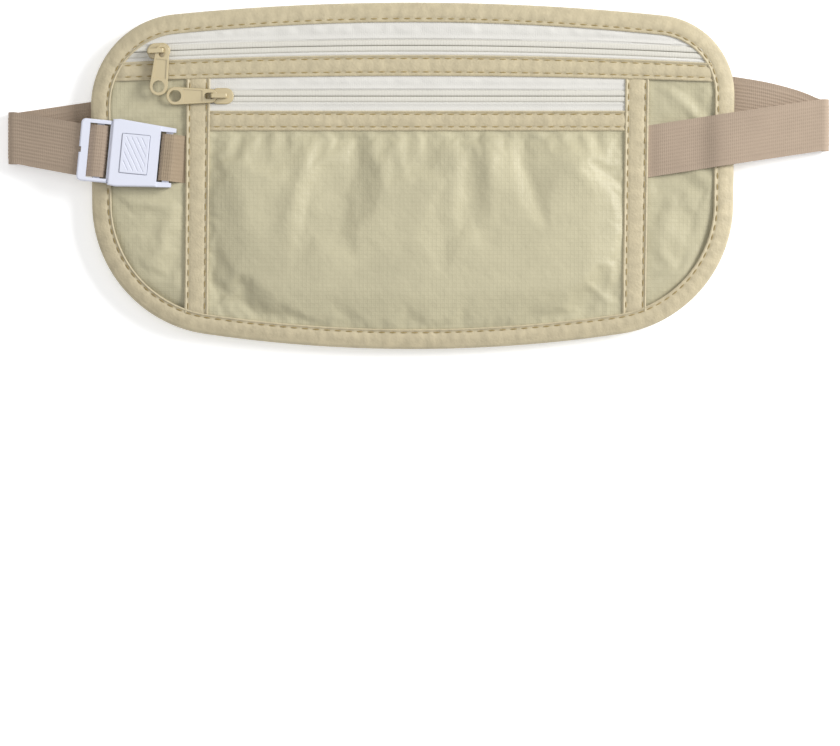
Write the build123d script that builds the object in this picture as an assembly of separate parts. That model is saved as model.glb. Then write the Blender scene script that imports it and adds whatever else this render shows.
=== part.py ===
from build123d import *
from math import atan2, cos, degrees, hypot, radians, sqrt, tan
import os

# A waist money belt lying on its back: a flat two-pocket pouch whose elastic strap is folded
# behind it. Millimetres. X runs along the belt, Y towards the pouch's top edge, Z out of the
# pouch's front. The origin is on the table, under the middle of the whole belt.

# ---- Pouch outline ----
pouch_length = 280.0
pouch_height = 150.0
top_crown = 9.3          # rise of the top edge between its two ends
bottom_crown = 15.6      # fall of the bottom edge between its two ends
side_lean = 1.5          # each side leans in by this towards the bottom
top_left_radius = 40.0
top_right_radius = 34.5
bottom_radius = 57.0
side_use = 0.85          # most of a side that its two round corners may take

# ---- Sheet thicknesses and pocket depths ----
fabric = 0.5             # coated ripstop panel
tape_thickness = 0.5     # woven zip tape
strip_thickness = 0.5    # folded binding strip
main_depth = 4.4         # room inside the main pocket
front_depth = 4.4        # room inside the front pocket
pocket_sink = 1.6        # how far the main front panel dips behind the front pocket

# ---- Edge binding and panel flanks ----
binding_width = 8.6
binding_fold = 0.5       # thickness of each leaf and of the fold round the edge
flange_margin = 0.5      # panel flange that shows past the binding
back_flank = 10.0
sink_flank = 3.4
front_flank = 14.0
dip_lap = 1.5            # how far the dip runs on under the upper strip
swell_round = 4.0        # corner radius left on the front pocket's flat top

# ---- Zips ----
zip_middle_x = -1.0
zip_crown = 3.0          # rise of the arched top chain between its ends
zip_end_room = 20.0      # from a side of the pouch to the arch's end
top_chain_drop = 18.8    # top edge to the crown of the top chain
pocket_chain_drop = 40.7
coil_gap = 0.9           # slot for the slider's divider
coil_width = 2.2
coil_height = 1.2
end_gap = 0.4            # chain end to the binding beside it
sewn_lap = 3.0           # how far panels and tapes run under a strip

# ---- Binding strips on the front ----
strip_gap = 0.6          # from the slider's side to the upper strip
upper_strip_width = 9.0
upper_strip_flat = 1.2   # the strip's lower edge is this much less arched than its upper edge
lower_strip_drop = 47.0  # top edge to the lower strip
lower_strip_width = 8.6
side_binding_width = 10.2
left_panel_top = 47.7    # side of the pouch to the left binding's middle, at the top
left_panel_bottom = 46.3
right_panel_top = 42.5
right_panel_bottom = 44.5

# ---- Elastic strap ----
strap_width = 22.4
strap_thickness = 1.2
fold_radius = 3.0        # middle of the strap's thickness at each end fold
left_loop = 35.4         # side of the pouch to the left fold
right_loop = 40.6        # side of the pouch to the right fold
right_seam_y = 10.5
right_fold_y = 22.0
left_fold_y = 16.4
left_bend_in = 10.0      # side of the pouch to the strap's bend behind it
left_bend_y = 22.5
right_bend_in = 8.0
right_bend_y = 33.2
sewn_strap = 0.5         # strap and tab thickness where they are sewn flat
strap_lap = 6.0          # strap under the right binding
lie_gap = 0.3            # between pieces that lie on each other loosely
tail_length = 29.0       # doubled-back strap end behind the buckle

# ---- Slider and pull ----
slider_length = 10.0
slider_width = 7.0
slider_plate = 0.7
slider_clearance = 0.25  # slider to coil and tape
divider_thickness = 0.6
slider_drop_room = 1.5   # back panel's slope that the slider's shoulder stays clear of
slider_nose = 2.4        # slider's middle to the point of its rounded shoulder
bridge_start = -4.9
bridge_length = 7.2
bridge_post = 1.1
bridge_width = 1.8
bridge_window = 3.2
pull_low = 0.95          # middle of the lower pull above the slider
pull_high = 2.45         # middle of the upper pull, which swings over the other
eye_swing = 1.2          # bridge post to the middle of the eye bar beside it
bridge_bar = 0.9
pull_length = 22.0
pull_eye_width = 6.0
pull_end_width = 7.7
pull_thickness = 1.2
pull_rim = 0.9
pull_recess = 0.3
pull_hole = 5.2
eye_bar = 1.1
eye_slot_length = 4.4
eye_slot_width = 2.8
top_pull_lean = 8.8      # degrees off square to the chain
slider_to_binding = 0.3

# ---- Buckle, in its own frame: U along the strap, V across it, Z from its underside ----
buckle_in = 17.0         # side of the pouch to the buckle's middle
buckle_y = 9.3
buckle_turn = -5.5
buckle_height = 5.6
buckle_wall = 1.0
buckle_side_wall = 1.2
body_left = -7.4
body_right = 13.6
body_proud = 1.1         # body wider than the latch, each side
arm_end = 20.0
arm_proud = 1.5          # arms wider than the strap, each side
arm_width = 1.8
arm_height = 4.6
bar_width = 3.0
bar_thickness = 1.6
bar_low = 1.5            # underside of both bars above the buckle's own underside
bar_end_gap = 1.1        # tab's bar to the arms' end
latch_left = -21.0
latch_rail = 1.7
strap_side_gap = 0.6     # strap to the latch's rails
outer_bar_width = 4.0
latch_bar_left = -14.0
latch_top = 4.9
fork_end = 11.0
fork_width = 2.4
fork_clearance = 0.3
plug_length = 3.0        # block that joins the fork's prongs, just inside the body
button_left = -2.7
button_right = 9.2
button_half = 8.45
button_gap = 0.2
button_lip = 0.6
button_rise = 0.35
tab_side_gap = 0.2       # tab to the arms beside it
tab_thickness = 1.0
bar_gap = 0.1            # strap or tab to the bar it wraps

# ---- Heights that follow ----
back_low = strap_thickness + lie_gap
sunk_low = back_low + fabric + main_depth
rim = sunk_low + pocket_sink                 # where back and main front panels meet
tape_low = rim + fabric
strip_low = tape_low + tape_thickness
strip_top = strip_low + strip_thickness
chain_z = tape_low + tape_thickness / 2
buckle_low = strip_top + lie_gap
fold_top_z = strap_thickness / 2 + 2 * fold_radius
half_length = pouch_length / 2
half_height = pouch_height / 2
chain_half = coil_gap / 2 + coil_width
left_reach = half_length + left_loop
right_reach = half_length + right_loop
middle_shift = (left_reach - right_reach) / 2   # puts the origin midway between the folds
top_chain_y = half_height - top_chain_drop
pocket_chain_y = half_height - pocket_chain_drop
zip_reach = half_length - zip_end_room
zip_arc_radius = (zip_reach ** 2 + zip_crown ** 2) / (2 * zip_crown)
strip_to_chain = slider_width / 2 + strip_gap
lower_strip_top = half_height - lower_strip_drop
left_binding_top_x = left_panel_top - half_length
left_binding_bottom_x = left_panel_bottom - half_length
right_binding_top_x = half_length - right_panel_top
right_binding_bottom_x = half_length - right_panel_bottom
buckle_x = buckle_in - half_length
latch_half = strap_width / 2 + strap_side_gap + latch_rail
body_half = latch_half + body_proud
arm_half = strap_width / 2 + arm_proud
bar_left = arm_end - bar_end_gap - bar_width
cavity_half = body_half - buckle_side_wall
tab_width = 2 * (arm_half - arm_width - tab_side_gap)


def corner(x, y, face):
    """Return the vertex of face nearest to x, y."""
    return min(face.vertices(), key=lambda v: hypot(v.X - x, v.Y - y))


def rounded(face, corners):
    """Round the named corners of a flat face; corners is a list of (x, y, radius)."""
    for x, y, radius in corners:
        face = fillet([corner(x, y, face)], radius)
    return face


def pouch_outline():
    """Flat outline of the pouch: two crowned edges, two leaning sides, four round corners."""
    top_y = half_height - top_crown
    bottom_y = bottom_crown - half_height
    low_x = half_length - side_lean
    edges = [
        ThreePointArc((-half_length, top_y), (0, half_height), (half_length, top_y)),
        Line((half_length, top_y), (low_x, bottom_y)),
        ThreePointArc((low_x, bottom_y), (0, -half_height), (-low_x, bottom_y)),
        Line((-low_x, bottom_y), (-half_length, top_y)),
    ]
    limit = min(1.0, side_use * (top_y - bottom_y) / (top_left_radius + bottom_radius))
    return rounded(make_face(edges), [
        (-half_length, top_y, top_left_radius * limit),
        (half_length, top_y, top_right_radius * limit),
        (low_x, bottom_y, bottom_radius * limit),
        (-low_x, bottom_y, bottom_radius * limit),
    ])


def inset(distance):
    """The pouch outline moved inwards by distance."""
    return offset(outline, amount=-distance)


def slab(face, z_low, z_high):
    """A flat face thickened from z_low to z_high."""
    return extrude(Pos(0, 0, z_low) * face, amount=z_high - z_low, dir=(0, 0, 1))


def dished(flange, footprint, floor, z_flange, depth):
    """A fabric panel with a flat flange and a dish; depth is negative for a dish that sinks."""
    up = fabric if depth > 0 else 0.0
    start = z_flange + up
    outer = loft([Pos(0, 0, start) * footprint.face(), Pos(0, 0, start + depth) * floor.face()],
                 ruled=True)
    inner = Pos(0, 0, -fabric if depth > 0 else fabric) * outer
    return slab(flange, z_flange, z_flange + fabric) + outer - inner


def box_between(x_low, x_high, y_low, y_high, z_low, z_high):
    """A box given by its limits along each axis."""
    size = (x_high - x_low, y_high - y_low, z_high - z_low)
    return Pos(x_low, y_low, z_low) * Box(*size, align=(Align.MIN, Align.MIN, Align.MIN))


def chain_arc_y(x, away=0.0):
    """Height of the arched top chain's middle at x, or of a line away from it."""
    radius = zip_arc_radius + away
    return top_chain_y - zip_arc_radius + sqrt(radius ** 2 - (x - zip_middle_x) ** 2)


def arc_line(x_low, x_high, y_of):
    """An arc, or a line where the curve is level, through y_of between two x values."""
    x_mid = (x_low + x_high) / 2
    if y_of(x_low) == y_of(x_mid) == y_of(x_high):
        return Line((x_low, y_of(x_low)), (x_high, y_of(x_high)))
    return ThreePointArc((x_low, y_of(x_low)), (x_mid, y_of(x_mid)), (x_high, y_of(x_high)))


def band(x_low, x_high, low_of, high_of):
    """A flat band between two arched lines."""
    return make_face([
        arc_line(x_low, x_high, low_of),
        Line((x_high, low_of(x_high)), (x_high, high_of(x_high))),
        arc_line(x_low, x_high, high_of),
        Line((x_low, high_of(x_low)), (x_low, low_of(x_low))),
    ])


def lean_x(top_x, bottom_x, y):
    """X of a leaning side binding's middle at y."""
    share = (half_height - y) / pouch_height
    return top_x + (bottom_x - top_x) * share


def left_middle(y):
    """X of the left side binding's middle at y."""
    return lean_x(left_binding_top_x, left_binding_bottom_x, y)


def right_middle(y):
    """X of the right side binding's middle at y."""
    return lean_x(right_binding_top_x, right_binding_bottom_x, y)


def between_bindings(inside, y_low, y_high):
    """A face between the side bindings' middles, each side moved in by inside."""
    return make_face(Polyline(
        (left_middle(y_low) + inside, y_low), (right_middle(y_low) - inside, y_low),
        (right_middle(y_high) - inside, y_high), (left_middle(y_high) + inside, y_high),
        (left_middle(y_low) + inside, y_low)))


def bottom_arc_y(x, distance):
    """Y of a line that runs inside the crowned bottom edge by distance, at x."""
    reach = half_length - side_lean
    radius = (reach ** 2 + bottom_crown ** 2) / (2 * bottom_crown)
    return radius - half_height - sqrt((radius - distance) ** 2 - x ** 2)


def dish_area(inside, margin, y_top, radius):
    """Rounded four-sided area between the side bindings, from y_top to near the bottom edge."""
    distance = binding_width + flange_margin + margin
    left_low = left_middle(-half_height) + inside
    right_low = right_middle(-half_height) - inside
    left_top = left_middle(y_top) + inside
    right_top = right_middle(y_top) - inside
    left_low_y = bottom_arc_y(left_low, distance)
    right_low_y = bottom_arc_y(right_low, distance)
    face = make_face([
        ThreePointArc((left_low, left_low_y), (0, bottom_arc_y(0, distance)),
                      (right_low, right_low_y)),
        Line((right_low, right_low_y), (right_top, y_top)),
        Line((right_top, y_top), (left_top, y_top)),
        Line((left_top, y_top), (left_low, left_low_y)),
    ])
    return rounded(face, [(left_low, left_low_y, radius), (right_low, right_low_y, radius),
                          (right_top, y_top, radius), (left_top, y_top, radius)])


def upper_strip_low(x):
    """Lower edge of the upper binding strip at x, flatter than its upper edge."""
    drop = top_chain_y - chain_arc_y(x)
    end_drop = top_chain_y - chain_arc_y(half_length)
    level = top_chain_y - strip_to_chain - upper_strip_width
    return level - drop * (1 - upper_strip_flat / end_drop)


outline = pouch_outline()
inner_face = inset(binding_fold)
clear_face = inset(binding_width)
strip_half = side_binding_width / 2
lower_strip_low = lower_strip_top - lower_strip_width


# ---- Panels ----
def make_back_panel():
    """Full-size back, dished towards the table to make room for the main pocket."""
    footprint = inset(binding_width + flange_margin)
    floor = inset(binding_width + flange_margin + back_flank)
    z_flange = rim - fabric
    return dished(inner_face, footprint, floor, z_flange, back_low - z_flange)


def make_sunk_area():
    """Area of the main front panel that dips behind the front pocket."""
    top = pocket_chain_y + slider_width / 2 + slider_drop_room + sink_flank
    return dish_area(flange_margin - strip_half, dip_lap, top, sink_flank + dip_lap)


def make_main_front_panel():
    """Front wall of the main pocket, from under the upper strip to the bottom edge."""
    top = upper_strip_low(0) + sewn_lap
    cover = make_face(Polyline((-pouch_length, -pouch_length), (pouch_length, -pouch_length),
                               (pouch_length, top), (-pouch_length, top),
                               (-pouch_length, -pouch_length)))
    flange = inner_face & cover
    area = make_sunk_area()
    return dished(flange, area, offset(area, amount=-sink_flank), rim, -pocket_sink)


def make_front_pocket_panel():
    """Outer wall of the front pocket, swelling forwards between the side bindings."""
    flange = between_bindings(strip_half - sewn_lap, -pouch_height,
                              lower_strip_low + sewn_lap) & inner_face
    swell = dish_area(strip_half + flange_margin, swell_round, lower_strip_low - flange_margin,
                      front_flank + swell_round)
    top = sunk_low + fabric + front_depth + fabric
    return dished(flange, swell, offset(swell, amount=-front_flank), tape_low,
                  top - tape_low - fabric)


# ---- Bindings and strips ----
def make_edge_binding():
    """Folded binding round the whole edge, open towards the pouch's middle."""
    low = rim - fabric - binding_fold
    ring = slab(outline, low, strip_top)
    hollow = slab(inner_face, low + binding_fold, strip_low)
    window = slab(clear_face, low, strip_top)
    return ring - hollow - window


def make_upper_strip():
    """Arched strip that joins the two zips, from side to side of the edge binding."""
    upper = lambda x: chain_arc_y(x, -strip_to_chain)
    return slab(band(-half_length, half_length, upper_strip_low, upper) & clear_face,
                strip_low, strip_top)


def make_side_binding(middle_of):
    """Upright strip from the upper strip down to the edge binding."""
    face = make_face(Polyline(
        (middle_of(-half_height) - strip_half, -half_height),
        (middle_of(-half_height) + strip_half, -half_height),
        (middle_of(half_height) + strip_half, half_height),
        (middle_of(half_height) - strip_half, half_height),
        (middle_of(-half_height) - strip_half, -half_height)))
    below = band(-half_length, half_length, lambda x: -pouch_height, upper_strip_low)
    return slab(face & below & clear_face, strip_low, strip_top)


def make_lower_strip():
    """Straight strip over the front pocket's top edge, between the side bindings."""
    face = between_bindings(strip_half, lower_strip_low, lower_strip_top)
    return slab(face, strip_low, strip_top)


# ---- Zips ----
def top_band(low, high, x_low, x_high):
    """A band that follows the arched top chain between two distances from its middle."""
    return band(x_low, x_high, lambda x: chain_arc_y(x, low), lambda x: chain_arc_y(x, high))


def make_top_tapes():
    """Upper tape to the top edge, lower tape to under the upper strip."""
    wide = top_band(chain_half, pouch_height, -half_length, half_length) & inner_face
    low = -strip_to_chain - sewn_lap
    narrow = top_band(low, -chain_half, -half_length, half_length) & inner_face
    return (slab(wide, tape_low, strip_low), slab(narrow, tape_low, strip_low))


def coil(face):
    """One zip coil of the chain's height on a flat face."""
    return slab(face, chain_z - coil_height / 2, chain_z + coil_height / 2)


def make_top_coils():
    """Two arched coils that end clear of the edge binding."""
    room = inset(binding_width + end_gap)
    upper = top_band(coil_gap / 2, chain_half, -half_length, half_length) & room
    lower = top_band(-chain_half, -coil_gap / 2, -half_length, half_length) & room
    return coil(upper), coil(lower)


def pocket_band(low, high, inside):
    """A straight band beside the pocket chain, its ends moved in from the bindings' middles."""
    return between_bindings(inside, pocket_chain_y + low, pocket_chain_y + high)


def make_pocket_tapes():
    """Straight tapes that reach under the upper and the lower strip."""
    reach = lower_strip_top - sewn_lap - pocket_chain_y
    wide = pocket_band(chain_half, 2 * strip_to_chain + sewn_lap, strip_half - sewn_lap)
    under = band(-half_length, half_length, lambda x: 0.0,
                 lambda x: upper_strip_low(x) + sewn_lap)
    narrow = pocket_band(reach, -chain_half, strip_half - sewn_lap)
    return (slab(wide & under, tape_low, strip_low), slab(narrow, tape_low, strip_low))


def make_pocket_coils():
    """Two straight coils that end clear of the side bindings."""
    inside = strip_half + end_gap
    return (coil(pocket_band(coil_gap / 2, chain_half, inside)),
            coil(pocket_band(-chain_half, -coil_gap / 2, inside)))


def make_slider():
    """Zip slider about the chain's middle: two plates, side flanges, divider and bridge."""
    inner = coil_height / 2 + slider_clearance
    outer = inner + slider_plate
    slot = tape_thickness / 2 + slider_clearance
    plan = fillet(Rectangle(slider_length, slider_width).vertices(), 3.4)
    body = slab(plan, -outer, outer)
    body -= Box(slider_length, 2 * (chain_half + slider_clearance), 2 * inner)
    body -= Box(slider_length, slider_width, 2 * slot)
    body = fillet(body.edges().group_by(Axis.Z)[-1] + body.edges().group_by(Axis.Z)[0], 0.5)
    divider = Pos(-slider_length / 2 + 1.6, 0, 0) * Box(3.0, divider_thickness, 2 * outer - 0.2)
    bridge_high = bridge_window + bridge_bar
    bridge = box_between(bridge_start, bridge_start + bridge_length, -bridge_width / 2,
                         bridge_width / 2, outer - 0.1, outer + bridge_high)
    bridge = fillet(bridge.edges().filter_by(Axis.Y).group_by(Axis.Z)[-1], 0.8)
    bridge -= box_between(bridge_start + bridge_post, bridge_start + bridge_length - bridge_post,
                          -bridge_width, bridge_width, outer, outer + bridge_window)
    return body + divider + bridge


def above_slider(height):
    """Height above the chain's middle of a point that much above the slider's top plate."""
    return coil_height / 2 + slider_clearance + slider_plate + height


def make_pull():
    """Pull tab along +X from the middle of its eye bar, in the plane Z = 0."""
    eye_r = pull_eye_width / 2
    end_r = pull_end_width / 2
    start = -eye_bar / 2
    eye_x = start + eye_r
    end_x = start + pull_length - end_r
    plan = make_hull((Pos(eye_x, 0) * Circle(eye_r)).edges() + (Pos(end_x, 0) * Circle(end_r)).edges())
    tab = slab(plan, -pull_thickness / 2, pull_thickness / 2)
    tab = fillet(tab.edges().group_by(Axis.Z)[-1], 0.25)
    slot_x = eye_bar / 2 + eye_slot_length / 2
    slot = Pos(slot_x, 0) * SlotOverall(eye_slot_length, eye_slot_width)
    hole = Pos(end_x, 0) * Circle(pull_hole / 2)
    tab -= slab(slot + hole, -pull_thickness, pull_thickness)
    field_low = eye_bar / 2 + eye_slot_length + pull_rim
    field_high = end_x - pull_hole / 2 - pull_rim
    field = offset(plan, amount=-pull_rim) & Pos((field_low + field_high) / 2, 0) * Rectangle(
        field_high - field_low, pull_end_width)
    return tab - slab(field, pull_thickness / 2 - pull_recess, pull_thickness)


# ---- Strap and tab ----
def across(x, y, z_low, z_high, width):
    """A strap section square to X, given by its middle and its two heights."""
    plane = Plane(origin=(x, y, (z_low + z_high) / 2), x_dir=(0, 1, 0), z_dir=(1, 0, 0))
    return (plane * Rectangle(width, z_high - z_low)).face()


def in_buckle(shape):
    """Move a shape from the buckle's own frame to its place on the pouch."""
    return Pos(buckle_x, buckle_y, buckle_low) * Rot(0, 0, buckle_turn) * shape


def end_fold(x, y, side):
    """Half turn of strap at an end; side is 1 at the right and -1 at the left."""
    outer = fold_radius + strap_thickness / 2
    inner = fold_radius - strap_thickness / 2
    ring = Circle(outer) - Circle(inner)
    half = ring & Pos(side * outer / 2, 0) * Rectangle(outer, 2 * outer)
    turned = Pos(x, y, outer) * Rot(90, 0, 0) * half
    return extrude(turned, amount=strap_width / 2, both=True)


def make_strap():
    """One length of elastic: sewn right end, right fold, run behind, left fold, buckle end."""
    half = strap_thickness / 2
    right_x = right_reach - fold_radius - half
    left_x = -left_reach + fold_radius + half
    seam_x = right_middle(right_seam_y) + strip_half
    rise = (right_fold_y - right_seam_y) / (right_x - seam_x)
    leaf_x = half_length - binding_width - side_lean
    levels = [
        (seam_x - strap_lap, tape_low, tape_low + sewn_strap),
        (seam_x + 0.3, tape_low, tape_low + sewn_strap),
        (seam_x + 5.0, tape_low + lie_gap, tape_low + lie_gap + strap_thickness),
        (leaf_x - 6.0, tape_low + lie_gap, tape_low + lie_gap + strap_thickness),
        (leaf_x, strip_top + lie_gap, strip_top + lie_gap + strap_thickness),
        (half_length + 2.0, strip_top + lie_gap, strip_top + lie_gap + strap_thickness),
        (right_x, fold_top_z - half, fold_top_z + half),
    ]
    front = loft([across(x, right_seam_y + rise * (x - seam_x), low, high, strap_width)
                  for x, low, high in levels], ruled=True)
    back_points = [(left_x, left_fold_y), (left_bend_in - half_length, left_bend_y),
                   (half_length - right_bend_in, right_bend_y), (right_x, right_fold_y)]
    back = loft([across(x, y, 0, strap_thickness, strap_width) for x, y in back_points],
                ruled=True)
    over_low = bar_low + bar_thickness + bar_gap
    run_low = bar_low + 0.2
    run_end = latch_left - 1.5
    buckle_face = in_buckle(across(run_end, 0, run_low, run_low + strap_thickness, strap_width))
    left_face = across(left_x, left_fold_y, fold_top_z - half, fold_top_z + half, strap_width)
    left_run = loft([left_face, buckle_face], ruled=True)
    under_high = bar_low - bar_gap
    turn_x = latch_bar_left + bar_width + bar_gap
    turn_z = (over_low + under_high) / 2
    turn_r = (over_low - under_high) / 2
    ramp_x = latch_left + outer_bar_width + 0.1
    tail_drop = 3.4
    tail_x = run_end - tail_length + 9.0
    wrap = make_face([
        Line((run_end, run_low), (ramp_x, run_low)),
        Line((ramp_x, run_low), (latch_bar_left - 0.3, over_low)),
        Line((latch_bar_left - 0.3, over_low), (turn_x, over_low)),
        ThreePointArc((turn_x, over_low), (turn_x + turn_r, turn_z), (turn_x, under_high)),
        Line((turn_x, under_high), (run_end, under_high)),
        Line((run_end, under_high), (tail_x, under_high - tail_drop)),
        Line((tail_x, under_high - tail_drop), (tail_x, under_high - tail_drop - strap_thickness)),
        Line((tail_x, under_high - tail_drop - strap_thickness),
             (run_end, under_high - strap_thickness)),
        Line((run_end, under_high - strap_thickness), (turn_x, under_high - strap_thickness)),
        ThreePointArc((turn_x, under_high - strap_thickness),
                      (turn_x + turn_r + strap_thickness, turn_z),
                      (turn_x, over_low + strap_thickness)),
        Line((turn_x, over_low + strap_thickness),
             (latch_bar_left - 0.6, over_low + strap_thickness)),
        Line((latch_bar_left - 0.6, over_low + strap_thickness),
             (ramp_x - 0.3, run_low + strap_thickness)),
        Line((ramp_x - 0.3, run_low + strap_thickness), (run_end, run_low + strap_thickness)),
        Line((run_end, run_low + strap_thickness), (run_end, run_low)),
    ])
    wrapped = in_buckle(extrude(Rot(90, 0, 0) * wrap, amount=strap_width / 2, both=True))
    right_turn = end_fold(right_x, right_fold_y, 1)
    left_turn = end_fold(left_x, left_fold_y, -1)
    return front + right_turn + back + left_turn + left_run + wrapped


def make_tab():
    """Woven tab: sewn under the left binding, looped over the buckle's end bar."""
    bar_x = bar_left
    over_low = bar_low + bar_thickness + bar_gap
    under_high = bar_low - bar_gap
    turn_x = bar_x - bar_gap
    turn_z = (over_low + under_high) / 2
    turn_r = (over_low - under_high) / 2
    bar_end = bar_x + bar_width
    turn = radians(-buckle_turn)
    seam_u = (left_middle(buckle_y) - strip_half - buckle_x) / cos(turn)
    flat_u = seam_u - tab_width / 2 * tan(turn) - lie_gap
    seam_z = tape_low - buckle_low
    profile = make_face([
        Line((bar_end + 0.3, over_low), (turn_x, over_low)),
        ThreePointArc((turn_x, over_low), (turn_x - turn_r, turn_z), (turn_x, under_high)),
        Line((turn_x, under_high), (bar_end + 0.3, under_high)),
        Line((bar_end + 0.3, under_high), (bar_end + 0.3, over_low)),
    ])
    outer = make_face([
        Line((bar_end + 0.3, over_low + tab_thickness), (turn_x, over_low + tab_thickness)),
        ThreePointArc((turn_x, over_low + tab_thickness),
                      (turn_x - turn_r - tab_thickness, turn_z),
                      (turn_x, under_high - tab_thickness)),
        Line((turn_x, under_high - tab_thickness), (bar_end + 0.3, under_high - tab_thickness)),
        Line((bar_end + 0.3, under_high - tab_thickness), (flat_u, seam_z)),
        Line((flat_u, seam_z), (seam_u + strap_lap, seam_z)),
        Line((seam_u + strap_lap, seam_z), (seam_u + strap_lap, seam_z + sewn_strap)),
        Line((seam_u + strap_lap, seam_z + sewn_strap), (flat_u, seam_z + sewn_strap)),
        Line((flat_u, seam_z + sewn_strap), (bar_end + 0.3, over_low + tab_thickness)),
    ])
    shape = extrude(Rot(90, 0, 0) * (outer - profile), amount=tab_width / 2, both=True)
    return in_buckle(shape)


# ---- Buckle ----
def make_buckle_body():
    """Receiving half: a flat box open at the left, with two arms and an end bar at the right."""
    plan = make_face(Polyline(
        (body_left, body_half - 0.4), (body_left + 3.4, body_half), (arm_end, arm_half),
        (arm_end, -arm_half), (body_left + 3.4, -body_half), (body_left, -body_half + 0.4),
        (body_left, body_half - 0.4)))
    body = slab(plan, 0, buckle_height)
    body = fillet(body.edges().group_by(Axis.Z)[-1], 0.8)
    body -= box_between(body_right, arm_end + 1, -arm_half + arm_width, arm_half - arm_width,
                        -1, buckle_height + 1)
    body -= box_between(body_right, arm_end + 1, -body_half, body_half, arm_height,
                        buckle_height + 1)
    body -= box_between(body_left - 1, body_right - 1.6, -cavity_half, cavity_half,
                        buckle_wall, buckle_height - buckle_wall)
    opening = fillet(Rectangle(button_right - button_left + 2 * button_gap,
                               2 * (button_half + button_gap)).vertices(), 0.6)
    body -= slab(Pos((button_left + button_right) / 2, 0) * opening,
                 buckle_height - buckle_wall - 0.5, buckle_height + 1)
    bar = box_between(bar_left, bar_left + bar_width, -arm_half + 1, arm_half - 1,
                      bar_low, bar_low + bar_thickness)
    return in_buckle(body + bar)


def make_buckle_latch():
    """Entering half: strap frame with two cross bars, and a fork that slides into the body."""
    frame_end = body_left - fork_clearance
    bar_right = latch_bar_left + bar_width
    plan = fillet(make_face(Polyline(
        (latch_left, latch_half), (frame_end, latch_half), (frame_end, -latch_half),
        (latch_left, -latch_half), (latch_left, latch_half))).vertices().sort_by(Axis.X)[:2], 2.0)
    frame = slab(plan, 0.6, latch_top)
    frame = fillet(frame.edges().group_by(Axis.Z)[-1], 0.8)
    rail_inner = latch_half - latch_rail
    frame -= box_between(latch_left + outer_bar_width, frame_end + 1, -rail_inner, rail_inner,
                         0, latch_top + 1)
    frame -= box_between(latch_left - 1, latch_left + outer_bar_width + 1, -rail_inner,
                         rail_inner, 0, bar_low + bar_thickness)
    frame -= Pos(latch_left, 0, latch_top) * Box(2.0, 2.4, 2 * latch_top)
    bar = box_between(latch_bar_left, bar_right, -rail_inner - 1, rail_inner + 1,
                      bar_low, bar_low + bar_thickness)
    fork_out = cavity_half - fork_clearance
    fork_low = buckle_wall + fork_clearance
    fork_high = buckle_height - buckle_wall - fork_clearance
    plug = box_between(frame_end - 0.5, frame_end - 0.5 + plug_length, -fork_out, fork_out,
                       fork_low, fork_high)
    prong = box_between(frame_end, fork_end, fork_out - fork_width, fork_out,
                        fork_low, fork_high)
    prong = chamfer(prong.edges().filter_by(Axis.Z).group_by(Axis.X)[-1], 1.0)
    return in_buckle(frame + bar + plug + prong + mirror(prong, about=Plane.XZ))


def make_release_button():
    """Press pad in the body's window, kept in by a lip under the body's top wall."""
    pad = fillet(Rectangle(button_right - button_left, 2 * button_half).vertices(), 0.5)
    high = buckle_height + button_rise
    lip_high = buckle_height - buckle_wall - button_gap
    lip_low = lip_high - 0.9
    button = slab(pad, lip_low, high)
    button = fillet(button.edges().group_by(Axis.Z)[-1], 0.3)
    lip = slab(offset(pad, amount=button_lip), lip_low, lip_high)
    for step in range(-3, 4):
        groove = Pos(step * 2.2, 0, high) * Rot(0, 0, 30) * Box(0.5, 40, 0.4)
        button -= groove & slab(offset(pad, amount=-1.2), high - 1, high + 1)
    middle = Pos((button_left + button_right) / 2, 0, 0)
    return in_buckle(middle * (button + lip))


# ---- Placing the zip hardware ----
def left_limit(y, distance):
    """X where the outline, moved in by distance, comes furthest left above y."""
    above = Pos(0, y + pouch_height / 2) * Rectangle(2 * pouch_length, pouch_height)
    return (inset(distance) & above).bounding_box().min.X


shoulder_y = chain_arc_y(-zip_reach) + slider_width / 2
shoulder_inset = binding_width + flange_margin + slider_drop_room
top_slider_x = left_limit(shoulder_y, shoulder_inset) + slider_nose
pocket_slider_x = left_middle(pocket_chain_y) + strip_half + slider_to_binding + slider_length / 2


def at_top_slider(shape):
    """Place a shape at the top slider, square to the arched chain."""
    tilt = degrees(atan2(zip_middle_x - top_slider_x, zip_arc_radius))
    return Pos(top_slider_x, chain_arc_y(top_slider_x), chain_z) * Rot(0, 0, tilt) * shape


def at_pocket_slider(shape):
    """Place a shape at the pocket slider."""
    return Pos(pocket_slider_x, pocket_chain_y, chain_z) * shape


def make_top_pull():
    """Pull whose eye rings the bridge's right post, hanging down across the chain."""
    post_x = bridge_start + bridge_length - bridge_post / 2
    back_off = eye_bar / 2 + eye_slot_width / 2
    placed = Pos(post_x, 0, above_slider(pull_high)) * Rot(0, 0, -90 - top_pull_lean)
    return at_top_slider(placed * Pos(-back_off, 0, 0) * make_pull())


def make_pocket_pull():
    """Pull whose eye rings the bridge's left post, lying back along the chain."""
    axis_x = bridge_start + bridge_post + eye_swing
    placed = Pos(axis_x, 0, above_slider(pull_low)) * Rot(0, 0, 180)
    return at_pocket_slider(placed * make_pull())


top_tape_upper, top_tape_lower = make_top_tapes()
pocket_tape_upper, pocket_tape_lower = make_pocket_tapes()
top_coil_upper, top_coil_lower = make_top_coils()
pocket_coil_upper, pocket_coil_lower = make_pocket_coils()

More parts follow.
